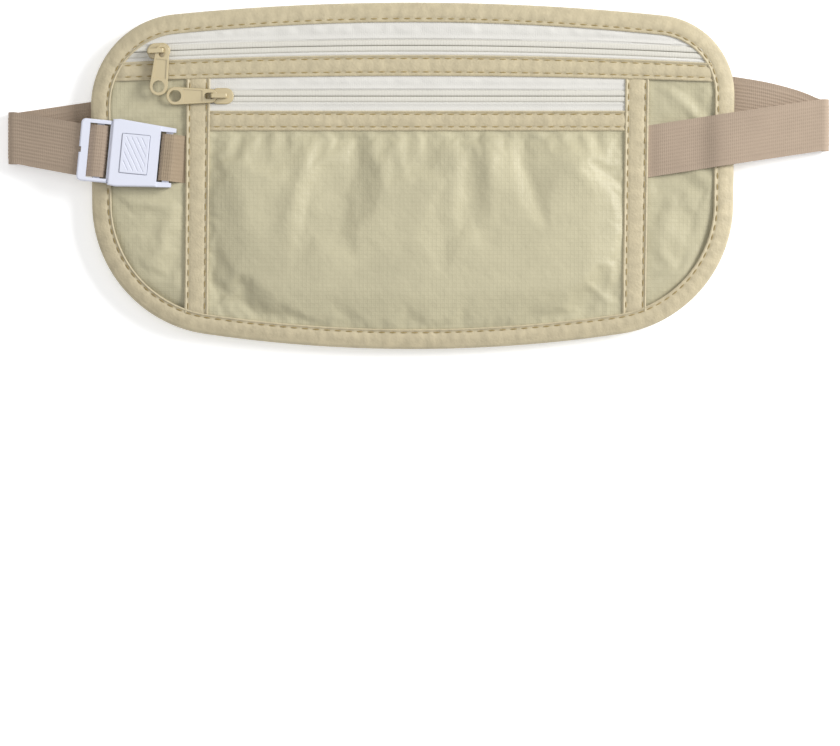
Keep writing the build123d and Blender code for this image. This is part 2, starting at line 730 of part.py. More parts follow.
parts = {
    "back_panel": make_back_panel(),
    "main_front_panel": make_main_front_panel(),
    "front_pocket_panel": make_front_pocket_panel(),
    "edge_binding": make_edge_binding(),
    "upper_binding_strip": make_upper_strip(),
    "lower_binding_strip": make_lower_strip(),
    "left_binding": make_side_binding(left_middle),
    "right_binding": make_side_binding(right_middle),
    "top_zip_tape_upper": top_tape_upper,
    "top_zip_tape_lower": top_tape_lower,
    "top_zip_coil_upper": top_coil_upper,
    "top_zip_coil_lower": top_coil_lower,
    "pocket_zip_tape_upper": pocket_tape_upper,
    "pocket_zip_tape_lower": pocket_tape_lower,
    "pocket_zip_coil_upper": pocket_coil_upper,
    "pocket_zip_coil_lower": pocket_coil_lower,
    "elastic_strap": make_strap(),
    "webbing_tab": make_tab(),
    "buckle_body": make_buckle_body(),
    "buckle_latch": make_buckle_latch(),
    "release_button": make_release_button(),
    "top_zip_slider": at_top_slider(make_slider()),
    "top_zip_pull": make_top_pull(),
    "pocket_zip_slider": at_pocket_slider(make_slider()),
    "pocket_zip_pull": make_pocket_pull(),
}

os.makedirs("parts", exist_ok=True)
for name, part in parts.items():
    export_step(Pos(middle_shift, 0, 0) * part, f"parts/{name}.step")
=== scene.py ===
"""Dresses a waist money belt: pouch cloth, bindings, zips, strap and buckle around its CAD frame."""
import logging
import math
from dataclasses import dataclass, field
from enum import Enum
from typing import Callable, Iterable, Sequence

import bmesh
import bpy
from mathutils import Matrix, Vector, noise
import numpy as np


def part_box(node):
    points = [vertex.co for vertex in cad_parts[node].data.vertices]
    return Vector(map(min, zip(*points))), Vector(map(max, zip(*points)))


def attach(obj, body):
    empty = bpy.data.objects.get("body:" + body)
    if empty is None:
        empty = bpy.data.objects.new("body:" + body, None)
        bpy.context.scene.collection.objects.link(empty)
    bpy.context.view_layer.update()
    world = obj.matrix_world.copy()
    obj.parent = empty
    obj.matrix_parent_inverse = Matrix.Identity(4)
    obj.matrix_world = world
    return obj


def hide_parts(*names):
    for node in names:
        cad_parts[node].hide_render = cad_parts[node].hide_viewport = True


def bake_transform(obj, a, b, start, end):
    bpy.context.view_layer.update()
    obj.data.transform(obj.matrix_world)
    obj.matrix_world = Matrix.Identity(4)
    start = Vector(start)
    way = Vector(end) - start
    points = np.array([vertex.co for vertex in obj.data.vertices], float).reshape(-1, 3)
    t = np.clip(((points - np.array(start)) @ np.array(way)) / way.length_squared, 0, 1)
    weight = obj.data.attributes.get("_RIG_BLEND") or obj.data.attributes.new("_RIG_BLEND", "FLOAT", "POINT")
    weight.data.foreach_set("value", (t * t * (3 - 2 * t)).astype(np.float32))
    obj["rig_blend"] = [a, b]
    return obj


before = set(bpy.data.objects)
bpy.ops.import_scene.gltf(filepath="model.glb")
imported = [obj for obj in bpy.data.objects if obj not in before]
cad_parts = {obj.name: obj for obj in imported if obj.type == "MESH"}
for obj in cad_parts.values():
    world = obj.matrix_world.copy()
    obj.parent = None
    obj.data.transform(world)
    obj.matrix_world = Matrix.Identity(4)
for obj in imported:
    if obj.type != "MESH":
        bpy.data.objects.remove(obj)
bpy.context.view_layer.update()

MM = 0.001
HALVINGS = 40
BOTTOM_REACH = 150
log = logging.getLogger("money_belt")

Profile = list[tuple[float, float]]


# ---- Where things are, from the frame ----
def box_mm(node: str) -> tuple[Vector, Vector]:
    """Lowest and highest corner of a CAD node, in millimetres."""
    low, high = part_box(node)
    return low / MM, high / MM


POUCH_LOW, POUCH_HIGH = box_mm("edge_binding")
POUCH_X = (POUCH_LOW.x + POUCH_HIGH.x) / 2


def on_belt(x: float, y: float, z: float) -> Vector:
    """A point in metres in the frame, from millimetres about the pouch's middle."""
    return Vector(((x + POUCH_X) * MM, y * MM, z * MM))


def mix(a: float, b: float, share: float) -> float:
    """The value that lies that share of the way from a to b."""
    return a + (b - a) * share


def ease(share: float) -> float:
    """A smooth step from 0 to 1 as share goes from 0 to 1."""
    share = min(1.0, max(0.0, share))
    return share * share * (3 - 2 * share)


def bell(distance: float, width: float) -> float:
    """A smooth bump of height 1 about 0."""
    return math.exp(-((distance / width) ** 2))


def wander(x: float, y: float, scale: float, seed: float = 0.0) -> float:
    """Smooth noise from -1 to 1 over a sheet, with features about scale millimetres across."""
    return noise.noise(Vector((x / scale, y / scale, seed)))


# ---- The pouch's outline ----
@dataclass(frozen=True)
class Bend:
    """One arc of the outline, run clockwise between two angles in radians."""

    centre: Vector
    radius: float
    start: float
    end: float

    @property
    def length(self) -> float:
        """Length of the arc in millimetres."""
        return abs(self.end - self.start) * self.radius

    def at(self, share: float) -> tuple[Vector, Vector]:
        """Point and inward direction at a share of the arc."""
        angle = mix(self.start, self.end, share)
        out = Vector((math.cos(angle), math.sin(angle)))
        return self.centre + out * self.radius, -out


@dataclass(frozen=True)
class Edge:
    """One straight run of the outline."""

    start: Vector
    end: Vector
    inward: Vector

    @property
    def length(self) -> float:
        """Length of the run in millimetres."""
        return (self.end - self.start).length

    def at(self, share: float) -> tuple[Vector, Vector]:
        """Point and inward direction at a share of the run."""
        return self.start.lerp(self.end, share), self.inward


@dataclass
class Outline:
    """Rounded outline of the pouch, clockwise from the middle of its top edge."""

    half_length: float = (POUCH_HIGH.x - POUCH_LOW.x) / 2
    half_height: float = (POUCH_HIGH.y - POUCH_LOW.y) / 2
    top_crown: float = 9.3
    bottom_crown: float = 15.6
    side_lean: float = 1.5
    top_left_radius: float = 40.0
    top_right_radius: float = 34.5
    bottom_radius: float = 57.0
    parts: list = field(default_factory=list)
    length: float = 0.0
    half_way: float = 0.0

    def __post_init__(self) -> None:
        """Lay the arcs and edges end to end."""
        right = self._side(self.top_right_radius)
        left = self._side(self.top_left_radius)
        mirrored = [self._mirror(part) for part in reversed(left)]
        self.parts = right + mirrored
        self.half_way = sum(part.length for part in right)
        self.length = sum(part.length for part in self.parts)

    def _side(self, top_radius: float) -> list:
        """Right half of an outline whose top corner has the given radius, from top to bottom."""
        h, half = self.half_height, self.half_length
        reach = half - self.side_lean
        top_r = (half**2 + self.top_crown**2) / (2 * self.top_crown)
        low_r = (reach**2 + self.bottom_crown**2) / (2 * self.bottom_crown)
        top_c, low_c = Vector((0, h - top_r)), Vector((0, low_r - h))
        high = Vector((half, h - self.top_crown))
        low = Vector((reach, self.bottom_crown - h))
        down = (low - high).normalized()
        inward = Vector((down.y, -down.x))
        upper = self._corner(high, down, inward, top_c, top_r, top_radius)
        lower = self._corner(low, -down, inward, low_c, low_r, self.bottom_radius)
        side_angle = math.atan2(-inward.y, -inward.x)
        top_angle = math.atan2(upper.y - top_c.y, upper.x - top_c.x)
        low_angle = math.atan2(lower.y - low_c.y, lower.x - low_c.x)
        return [
            Bend(top_c, top_r, math.pi / 2, top_angle),
            Bend(upper, top_radius, top_angle, side_angle),
            Edge(upper - inward * top_radius, lower - inward * self.bottom_radius, inward),
            Bend(lower, self.bottom_radius, side_angle, low_angle),
            Bend(low_c, low_r, low_angle, -math.pi / 2),
        ]

    @staticmethod
    def _corner(
        end: Vector, along: Vector, inward: Vector, centre: Vector, big: float, radius: float
    ) -> Vector:
        """Centre of the arc that rounds the corner between a side and a crowned edge.

        Args:
            end: the side's end.
            along: direction from that end into the side.
            inward: direction from the side into the pouch.
            centre: centre of the crowned edge.
            big: radius of the crowned edge.
            radius: radius of the corner.

        Returns:
            The corner arc's centre.
        """
        start = end + inward * radius - centre
        half_b = start.dot(along)
        rest = start.length_squared - (big - radius) ** 2
        step = -half_b - math.sqrt(half_b**2 - rest)
        return end + inward * radius + along * step

    @staticmethod
    def _mirror(part: Bend | Edge) -> Bend | Edge:
        """The same stretch on the left side, run the other way."""
        flip = lambda v: Vector((-v.x, v.y))
        if isinstance(part, Edge):
            return Edge(flip(part.end), flip(part.start), flip(part.inward))
        return Bend(flip(part.centre), part.radius, math.pi - part.end, math.pi - part.start)

    def at(self, run: float, inset: float = 0.0) -> tuple[Vector, Vector]:
        """Point, moved in by inset, and inward direction at a distance along the outline."""
        run %= self.length
        for part in self.parts:
            if run <= part.length:
                point, inward = part.at(run / part.length)
                return point + inward * inset, inward
            run -= part.length
        point, inward = self.parts[-1].at(1.0)
        return point + inward * inset, inward

    def where(self, axis: int, value: float, low: float, high: float, inset: float) -> float:
        """Distance along the outline at which the inset line crosses a coordinate.

        Args:
            axis: 0 for X, 1 for Y.
            value: the coordinate looked for, in millimetres.
            low: start of the stretch that is searched.
            high: end of that stretch; the coordinate only rises or only falls on it.
            inset: how far the line is moved in.

        Returns:
            The distance along the outline.
        """
        rising = self.at(high, inset)[0][axis] > self.at(low, inset)[0][axis]
        for _ in range(HALVINGS):
            middle = (low + high) / 2
            if (self.at(middle, inset)[0][axis] < value) == rising:
                low = middle
            else:
                high = middle
        return (low + high) / 2

    def right_x(self, y: float, inset: float) -> float:
        """X of the right side at a height."""
        return self.at(self.where(1, y, 0, self.half_way, inset), inset)[0].x

    def left_x(self, y: float, inset: float) -> float:
        """X of the left side at a height."""
        run = self.where(1, y, self.half_way, self.length - 1e-6, inset)
        return self.at(run, inset)[0].x

    def top_y(self, x: float, inset: float) -> float:
        """Y of the top edge at x."""
        quarter = self.parts[0].length + self.parts[1].length
        other = self.parts[-1].length + self.parts[-2].length
        if x >= 0:
            return self.at(self.where(0, x, 0, quarter, inset), inset)[0].y
        run = self.where(0, x, self.length - other, self.length - 1e-6, inset)
        return self.at(run, inset)[0].y


# ---- Mesh helpers ----
def to_object(bm: bmesh.types.BMesh, name: str, sharp: float = 40.0) -> bpy.types.Object:
    """Turn a bmesh into an object at the origin, smooth except at edges sharper than sharp degrees."""
    mesh = bpy.data.meshes.new(name)
    bm.to_mesh(mesh)
    bm.free()
    mesh.polygons.foreach_set("use_smooth", [True] * len(mesh.polygons))
    mesh.set_sharp_from_angle(angle=math.radians(sharp))
    obj = bpy.data.objects.new(name, mesh)
    bpy.context.scene.collection.objects.link(obj)
    return obj


def mapped_sheet(
    columns: int, rows: int, place: Callable[[float, float], Vector]
) -> bmesh.types.BMesh:
    """A grid whose points are placed from their two shares, 0 to 1, with a UV map in metres."""
    bm = bmesh.new()
    bmesh.ops.create_grid(bm, x_segments=columns, y_segments=rows, size=1.0)
    for vert in bm.verts:
        vert.co = place((vert.co.x + 1) / 2, (vert.co.y + 1) / 2)
    layer = bm.loops.layers.uv.new("cloth")
    for face in bm.faces:
        for loop in face.loops:
            loop[layer].uv = loop.vert.co.xy
    bmesh.ops.recalc_face_normals(bm, faces=bm.faces)
    if sum(face.normal.z for face in bm.faces) < 0:
        bmesh.ops.reverse_faces(bm, faces=bm.faces)
    return bm


@dataclass(frozen=True)
class Stand:
    """Where one section of a sweep stands: a point and its across and up directions, in millimetres."""

    point: Vector
    across: Vector
    up: Vector
    run: float


def swept(
    name: str,
    stands: Sequence[Stand],
    profile_at: Callable[[float], Profile],
    ring: bool = False,
    sharp: float = 50.0,
) -> bpy.types.Object:
    """A closed section carried along stands.

    Args:
        name: the piece's name.
        stands: where the sections stand, in order.
        profile_at: gives the section's points, across and up, at a distance along the run.
        ring: whether the last section joins the first.
        sharp: edges sharper than this many degrees stay sharp.

    Returns:
        The piece, closed at both ends or joined into a ring.
    """
    profiles = [profile_at(stand.run) for stand in stands]
    rows = len(profiles[0])
    columns = len(stands) if ring else len(stands) - 1
    bm = bmesh.new()
    bmesh.ops.create_grid(bm, x_segments=columns, y_segments=rows, size=1.0)
    layer = bm.loops.layers.uv.new("cloth")
    spots = {}
    for vert in bm.verts:
        i = round((vert.co.x + 1) / 2 * columns)
        j = round((vert.co.y + 1) / 2 * rows)
        stand = stands[i % len(stands)]
        a, b = profiles[i % len(stands)][j % rows]
        spots[vert] = (stand.run * MM, a * MM)
        point = stand.point + stand.across * a + stand.up * b
        vert.co = on_belt(*point)
    for face in bm.faces:
        for loop in face.loops:
            loop[layer].uv = spots[loop.vert]
    bmesh.ops.remove_doubles(bm, verts=bm.verts, dist=2e-7)
    if not ring:
        open_edges = [edge for edge in bm.edges if edge.is_boundary]
        bmesh.ops.holes_fill(bm, edges=open_edges, sides=0)
    bmesh.ops.recalc_face_normals(bm, faces=bm.faces)
    return to_object(bm, name, sharp)


def along(points: Sequence[Vector], across: Sequence[Vector]) -> list[Stand]:
    """Stands along a line of points, each with its own across direction."""
    stands = []
    run = 0.0
    last = len(points) - 1
    for i, point in enumerate(points):
        if i:
            run += (point - points[i - 1]).length
        heading = points[min(i + 1, last)] - points[max(i - 1, 0)]
        up = heading.cross(across[i]).normalized()
        stands.append(Stand(point, across[i], up, run))
    return stands


def dense(knots: Sequence[Vector], step: float) -> list[Vector]:
    """Points about step apart along straight runs between knots."""
    points = [knots[0]]
    for a, b in zip(knots, knots[1:]):
        count = max(1, round((b - a).length / step))
        points += [a.lerp(b, i / count) for i in range(1, count + 1)]
    return points


def half_turn(steps: int, side: int = 1) -> list[tuple[float, float]]:
    """Across and up shares round a half circle from above to below, its ends left out."""
    angles = [math.pi / 2 - side * math.pi * i / steps for i in range(1, steps)]
    return [(math.cos(angle), math.sin(angle)) for angle in angles]


def smoothed(points: list[Vector], times: int) -> list[Vector]:
    """The same points with their corners eased, the ends kept."""
    for _ in range(times):
        inner = [(a + 2 * b + c) / 4 for a, b, c in zip(points, points[1:], points[2:])]
        points = [points[0], *inner, points[-1]]
    return points


def ribbed(width: float, half: float, ribs: int, depth: float) -> Profile:
    """Upper face of a ribbed band, from one edge to the other, four steps to a rib."""
    steps = ribs * 4
    dip = [depth * (math.cos(2 * math.pi * i / 4) * 0.5 - 0.5) for i in range(steps + 1)]
    return [(mix(-width / 2, width / 2, i / steps), half + dip[i]) for i in range(steps + 1)]


def lens_profile(width: float, low: float, high: float, steps: int = 8) -> Profile:
    """A rounded bar's section, from low to high."""
    middle, half = (low + high) / 2, (high - low) / 2
    angles = [2 * math.pi * i / (2 * steps) for i in range(2 * steps)]
    blunt = lambda v: math.copysign(abs(v) ** 0.6, v)
    return [(blunt(math.cos(a)) * width / 2, middle + blunt(math.sin(a)) * half) for a in angles]


def finish_piece(obj: bpy.types.Object, finish: "Finish", body: str, replaces: Iterable[str] = ()) -> None:
    """Give a piece its finish and body, and hide the CAD nodes that it stands for."""
    obj.data.materials.clear()
    obj.data.materials.append(finish.material())
    if "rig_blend" not in obj and body:
        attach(obj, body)
    if replaces:
        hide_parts(*replaces)
    log.info("%s: %d points, finish %s", obj.name, len(obj.data.vertices), finish.name)


# ---- Finishes ----
def srgb(red: int, green: int, blue: int) -> tuple[float, float, float, float]:
    """A display colour, 0 to 255, as the linear colour that shaders take."""
    linear = lambda c: c / 12.92 if c <= 0.04045 else ((c + 0.055) / 1.055) ** 2.4
    return (linear(red / 255), linear(green / 255), linear(blue / 255), 1.0)


class Follow(Enum):
    """What a finish's pattern follows."""

    OBJECT = "Object"
    CLOTH = "UV"


@dataclass(frozen=True)
class Finish:
    """A plain finish: colour, gloss and the slot of the record that it belongs to."""

    name: str
    slot: str
    colour: tuple[float, float, float, float]
    roughness: float = 0.6
    specular: float = 0.4
    coat: float = 0.0
    sheen: float = 0.0
    mottle: float = 0.05
    mottle_size: float = 18.0
    grain: float = 0.0
    grain_size: float = 0.5
    glow: float = 0.0

    def material(self) -> bpy.types.Material:
        """The finish's material, made the first time that it is asked for."""
        found = bpy.data.materials.get(self.name)
        return found if found else self._make()

    def _make(self) -> bpy.types.Material:
        """Build the node tree."""
        made = bpy.data.materials.new(self.name)
        made.use_nodes = True
        made.diffuse_color = self.colour
        nodes = made.node_tree.nodes
        shader = nodes["Principled BSDF"]
        shader.inputs["Base Color"].default_value = self.colour
        shader.inputs["Roughness"].default_value = self.roughness
        shader.inputs["Specular IOR Level"].default_value = self.specular
        shader.inputs["Coat Weight"].default_value = self.coat
        shader.inputs["Sheen Weight"].default_value = self.sheen
        shader.inputs["Emission Color"].default_value = self.colour
        shader.inputs["Emission Strength"].default_value = self.glow
        self.dress(made.node_tree, shader)
        return made

    def dress(self, tree: bpy.types.NodeTree, shader: bpy.types.Node) -> None:
        """Add the finish's own patterns: here, a soft mottle and a fine grain."""
        place = tree.nodes.new("ShaderNodeTexCoord").outputs["Object"]
        if self.mottle:
            self.tint(tree, shader, self.cloud(tree, place, self.mottle_size), self.mottle)
        if self.grain:
            self.relief(tree, shader, [(self.cloud(tree, place, self.grain_size), self.grain)])

    def cloud(
        self, tree: bpy.types.NodeTree, place: bpy.types.NodeSocket, size: float
    ) -> bpy.types.NodeSocket:
        """A noise pattern with features about size millimetres across."""
        node = tree.nodes.new("ShaderNodeTexNoise")
        node.inputs["Scale"].default_value = 1 / (size * MM)
        node.inputs["Detail"].default_value = 3.0
        tree.links.new(place, node.inputs["Vector"])
        return node.outputs["Fac"]

    def bands(
        self, tree: bpy.types.NodeTree, place: bpy.types.NodeSocket, pitch: float, axis: str
    ) -> bpy.types.NodeSocket:
        """Even bands across one axis, pitch millimetres apart."""
        node = tree.nodes.new("ShaderNodeTexWave")
        node.bands_direction = axis
        node.inputs["Scale"].default_value = 2 * math.pi / (20 * pitch * MM)
        tree.links.new(place, node.inputs["Vector"])
        return node.outputs["Fac"]

    def maths(
        self, tree: bpy.types.NodeTree, kind: str, a: bpy.types.NodeSocket, b: bpy.types.NodeSocket | float
    ) -> bpy.types.NodeSocket:
        """A maths node of one kind on two values."""
        node = tree.nodes.new("ShaderNodeMath")
        node.operation = kind
        tree.links.new(a, node.inputs[0])
        if isinstance(b, float):
            node.inputs[1].default_value = b
        else:
            tree.links.new(b, node.inputs[1])
        return node.outputs[0]

    def tint(
        self, tree: bpy.types.NodeTree, shader: bpy.types.Node, pattern: bpy.types.NodeSocket, share: float
    ) -> None:
        """Let a pattern lighten and darken the base colour by a share of it."""
        ramp = tree.nodes.new("ShaderNodeValToRGB")
        ramp.color_ramp.elements[0].position = 0.3
        ramp.color_ramp.elements[1].position = 0.7
        shade = lambda k: tuple(min(1.0, c * k) for c in self.colour[:3]) + (1.0,)
        ramp.color_ramp.elements[0].color = shade(1 - share)
        ramp.color_ramp.elements[1].color = shade(1 + share)
        tree.links.new(pattern, ramp.inputs["Fac"])
        tree.links.new(ramp.outputs["Color"], shader.inputs["Base Color"])

    def relief(
        self,
        tree: bpy.types.NodeTree,
        shader: bpy.types.Node,
        layers: Sequence[tuple[bpy.types.NodeSocket, float]],
    ) -> None:
        """Stack bump layers, each a pattern and its height in millimetres."""
        before = None
        for pattern, height in layers:
            bump = tree.nodes.new("ShaderNodeBump")
            bump.inputs["Strength"].default_value = 1.0
            bump.inputs["Distance"].default_value = height * MM
            tree.links.new(pattern, bump.inputs["Height"])
            if before:
                tree.links.new(before, bump.inputs["Normal"])
            before = bump.outputs["Normal"]
        tree.links.new(before, shader.inputs["Normal"])


@dataclass(frozen=True)
class Ripstop(Finish):
    """Coated cloth with a faint square grid of thicker threads."""

    pitch: float = 1.75
    thread: float = 0.035
    line_shade: float = 0.11
    follow: Follow = Follow.OBJECT

    def dress(self, tree: bpy.types.NodeTree, shader: bpy.types.Node) -> None:
        """Mottle, thread grid and a fine crumple."""
        place = tree.nodes.new("ShaderNodeTexCoord").outputs[self.follow.value]
        self.tint(tree, shader, self.cloud(tree, place, self.mottle_size), self.mottle)
        lines = [
            self.maths(tree, "POWER", self.bands(tree, place, self.pitch, axis), 14.0)
            for axis in ("X", "Y")
        ]
        grid = self.maths(tree, "MAXIMUM", lines[0], lines[1])
        self.shade_lines(tree, shader, grid)
        crumple = self.cloud(tree, place, 4.5)
        self.relief(tree, shader, [(crumple, 0.35), (grid, self.thread)])

    def shade_lines(
        self, tree: bpy.types.NodeTree, shader: bpy.types.Node, grid: bpy.types.NodeSocket
    ) -> None:
        """Let the thread grid show a little darker than the cloth."""
        blend = tree.nodes.new("ShaderNodeMix")
        blend.data_type = "RGBA"
        base = shader.inputs["Base Color"].links[0].from_socket
        tree.links.new(base, blend.inputs["A"])
        blend.inputs["B"].default_value = tuple(c * 0.55 for c in self.colour[:3]) + (1.0,)
        tree.links.new(self.maths(tree, "MULTIPLY", grid, self.line_shade), blend.inputs["Factor"])
        tree.links.new(blend.outputs["Result"], shader.inputs["Base Color"])


@dataclass(frozen=True)
class Woven(Finish):
    """Woven band: fine cross threads that follow its length."""

    pitch: float = 0.9
    thread: float = 0.06

    def dress(self, tree: bpy.types.NodeTree, shader: bpy.types.Node) -> None:
        """Mottle and the cross threads of the weave."""
        coords = tree.nodes.new("ShaderNodeTexCoord")
        self.tint(tree, shader, self.cloud(tree, coords.outputs["Object"], self.mottle_size), self.mottle)
        weft = self.bands(tree, coords.outputs[Follow.CLOTH.value], self.pitch, "X")
        fuzz = self.cloud(tree, coords.outputs["Object"], 0.6)
        self.relief(tree, shader, [(fuzz, 0.1), (weft, self.thread)])


RIPSTOP = Ripstop("ripstop_khaki", "ripstop", srgb(187, 180, 150), 0.47, 0.4, sheen=0.1, mottle=0.07,
                  mottle_size=22.0)
BINDING = Finish("binding_khaki", "binding", srgb(191, 179, 149), 0.55, 0.35, sheen=0.1, mottle=0.09,
                 mottle_size=5.0, grain=0.2, grain_size=1.1)
TAPE = Woven("zip_tape_cream", "zip_tape", srgb(216, 214, 208), 0.7, 0.2, mottle=0.03, pitch=0.8,
             thread=0.015)
COIL = Finish("zip_coil_cream", "zip_coil", srgb(212, 209, 199), 0.45, 0.4, mottle=0.02)
ELASTIC = Woven("elastic_brown", "elastic", srgb(170, 152, 134), 0.75, 0.2, mottle=0.08,
                mottle_size=30.0, pitch=0.9, thread=0.05)
WEBBING = Woven("webbing_brown", "webbing", srgb(158, 141, 119), 0.7, 0.2, mottle=0.05, pitch=0.9,
                thread=0.09)
PLASTIC = Finish("buckle_white", "buckle_plastic", srgb(219, 222, 236), 0.32, 0.5, mottle=0.0)
ENAMEL = Finish("pull_khaki", "enamelled_metal", srgb(190, 174, 134), 0.3, 0.5, coat=0.4, mottle=0.0)
THREAD = Finish("thread_tan", "binding", srgb(158, 138, 92), 0.6, 0.3, mottle=0.0)
FLOOR = Finish("floor_white", "", (0.98, 0.98, 0.98, 1.0), 0.9, 0.1, mottle=0.0, glow=0.3)


# ---- Stitching ----
@dataclass
class Stitching:
    """Rows of machine stitches, kept low in face count because there are hundreds."""

    pitch: float = 4.8
    length: float = 3.1
    thickness: float = 0.5
    flat: float = 0.34
    bm: bmesh.types.BMesh = field(default_factory=bmesh.new)

    def stitch(self, point: Vector, heading: Vector) -> None:
        """Lay one stitch along heading, its middle at point, in millimetres."""
        side = Vector((0, 0, 1)).cross(heading).normalized()
        axes = Matrix((heading.normalized(), side, Vector((0, 0, 1)))).transposed().to_4x4()
        size = Matrix.Diagonal(
            (self.length / 2 * MM, self.thickness / 2 * MM, self.flat / 2 * MM, 1.0)
        )
        place = Matrix.Translation(on_belt(*point)) @ axes @ size
        bmesh.ops.create_uvsphere(self.bm, u_segments=6, v_segments=4, radius=1.0, matrix=place)

    def row(self, point_at: Callable[[float], Vector], length: float) -> None:
        """Lay stitches along a line.

        Args:
            point_at: gives the line's point, in millimetres, at a distance along it.
            length: the line's length in millimetres.
        """
        count = max(1, round(length / self.pitch))
        for i in range(count):
            run = (i + 0.5) * length / count
            here, there = point_at(run), point_at(run + 0.5)
            self.stitch(here, there - here)

    def make(self, name: str) -> None:
        """Turn all the stitches laid so far into one piece."""
        finish_piece(to_object(self.bm, name, 60.0), THREAD, "pouch")


# ---- Cloth ----
@dataclass(frozen=True)
class Fold:
    """A soft fold in a cloth panel, between two points in millimetres; a negative height is a hollow."""

    start: tuple[float, float]
    end: tuple[float, float]
    height: float
    width: float

    def lift(self, x: float, y: float) -> float:
        """How much the fold lifts the cloth at a point."""
        a, b, p = Vector(self.start), Vector(self.end), Vector((x, y))
        span = b - a
        share = (p - a).dot(span) / span.length_squared
        near = a + span * min(1.0, max(0.0, share))
        taper = 1.0 - 0.5 * abs(min(1.0, max(0.0, share)) * 2 - 1) ** 2
        return self.height * taper * bell((p - near).length, self.width)


@dataclass
class ClothSim:
    """Lets a pinned panel that is a little too large for its seams find its own folds."""

    grow: float = 0.02
    frames: int = 24
    cap: float = 2.5

    def run(self, obj: bpy.types.Object, pinned: Callable[[Vector], bool]) -> None:
        """Simulate the panel and keep the result in its mesh.

        Args:
            obj: the panel, a single sheet.
            pinned: says whether a point, in metres, is held by a seam.
        """
        start = [v.co.copy() for v in obj.data.vertices]
        group = obj.vertex_groups.new(name="seam")
        group.add([v.index for v in obj.data.vertices if pinned(v.co)], 1.0, "REPLACE")
        cloth = obj.modifiers.new("cloth", "CLOTH")
        settings = cloth.settings
        settings.quality = 6
        settings.mass = 0.15
        settings.tension_stiffness = 20
        settings.compression_stiffness = 20
        settings.shear_stiffness = 8
        settings.bending_stiffness = 0.8
        settings.air_damping = 4
        settings.shrink_min = -self.grow
        settings.vertex_group_mass = group.name
        settings.effector_weights.gravity = 0.0
        cloth.point_cache.frame_start = 1
        cloth.point_cache.frame_end = self.frames
        scene = bpy.context.scene
        for number in range(1, self.frames + 1):
            scene.frame_set(number)
        graph = bpy.context.evaluated_depsgraph_get()
        result = [v.co.copy() for v in obj.evaluated_get(graph).data.vertices]
        obj.modifiers.remove(cloth)
        obj.vertex_groups.clear()
        limit = self.cap * MM
        for vert, was, now in zip(obj.data.vertices, start, result):
            move = now - was
            if move.length > limit:
                move *= limit / move.length
            vert.co = was + move
        scene.frame_set(1)


def thicken(obj: bpy.types.Object, thickness: float, levels: int = 1) -> None:
    """Smooth a single sheet and give it its thickness below its face, in millimetres."""
    if levels:
        smooth = obj.modifiers.new("smooth", "SUBSURF")
        smooth.levels = levels
        smooth.render_levels = levels
    wall = obj.modifiers.new("wall", "SOLIDIFY")
    wall.thickness = thickness * MM
    wall.offset = -1.0
    wall.use_even_offset = False


def patch(
    low: Callable[[float], Vector],
    high: Callable[[float], Vector],
    left: Callable[[float], Vector],
    right: Callable[[float], Vector],
) -> Callable[[float, float], Vector]:
    """The smooth patch that fills four curves which meet end to end."""
    c00, c10, c01, c11 = low(0), low(1), high(0), high(1)

    def place(s: float, t: float) -> Vector:
        """Point of the patch at two shares."""
        ruled = low(s) * (1 - t) + high(s) * t + left(t) * (1 - s) + right(t) * s
        flat = c00 * (1 - s) * (1 - t) + c10 * s * (1 - t) + c01 * (1 - s) * t + c11 * s * t
        return ruled - flat

    return place


# ---- The pouch ----
@dataclass
class Layout:
    """Lines of the pouch's front, in millimetres about its middle."""

    outline: Outline = field(default_factory=Outline)
    zip_middle: float = -1.0
    zip_radius: float = 2401.5
    top_chain: float = 56.2
    pocket_chain: float = 34.3
    strip_to_chain: float = 4.1
    upper_width: float = 9.0
    upper_flat: float = 1.2
    lower_top: float = 28.0
    lower_width: float = 8.6
    side_width: float = 10.2
    left_top: float = -92.3
    left_low: float = -93.7
    right_top: float = 97.5
    right_low: float = 95.5
    flange_z: float = 8.5
    sunk_z: float = 6.9
    cloth_z: float = 9.0
    strip_z: float = 9.5
    droop: float = 1.3
    droop_reach: float = 10.0

    def sag(self, distance: float) -> float:
        """How far the pouch's free edge has sunk at a distance from the outline, as a negative height."""
        return -self.droop * max(0.0, 1 - distance / self.droop_reach) ** 2

    def chain_y(self, x: float, away: float = 0.0) -> float:
        """Y of the arched top chain, or of a line beside it, at x."""
        radius = self.zip_radius + away
        return self.top_chain - self.zip_radius + math.sqrt(radius**2 - (x - self.zip_middle) ** 2)

    def upper_low(self, x: float) -> float:
        """Y of the upper strip's lower edge at x, which is flatter than its upper edge."""
        drop = self.top_chain - self.chain_y(x)
        end_drop = self.top_chain - self.chain_y(self.outline.half_length)
        level = self.top_chain - self.strip_to_chain - self.upper_width
        return level - drop * (1 - self.upper_flat / end_drop)

    def lean(self, top: float, low: float, y: float) -> float:
        """X of a leaning binding's middle at y."""
        h = self.outline.half_height
        return mix(top, low, (h - y) / (2 * h))

    def left_mid(self, y: float) -> float:
        """X of the left binding's middle."""
        return self.lean(self.left_top, self.left_low, y)

    def right_mid(self, y: float) -> float:
        """X of the right binding's middle."""
        return self.lean(self.right_top, self.right_low, y)


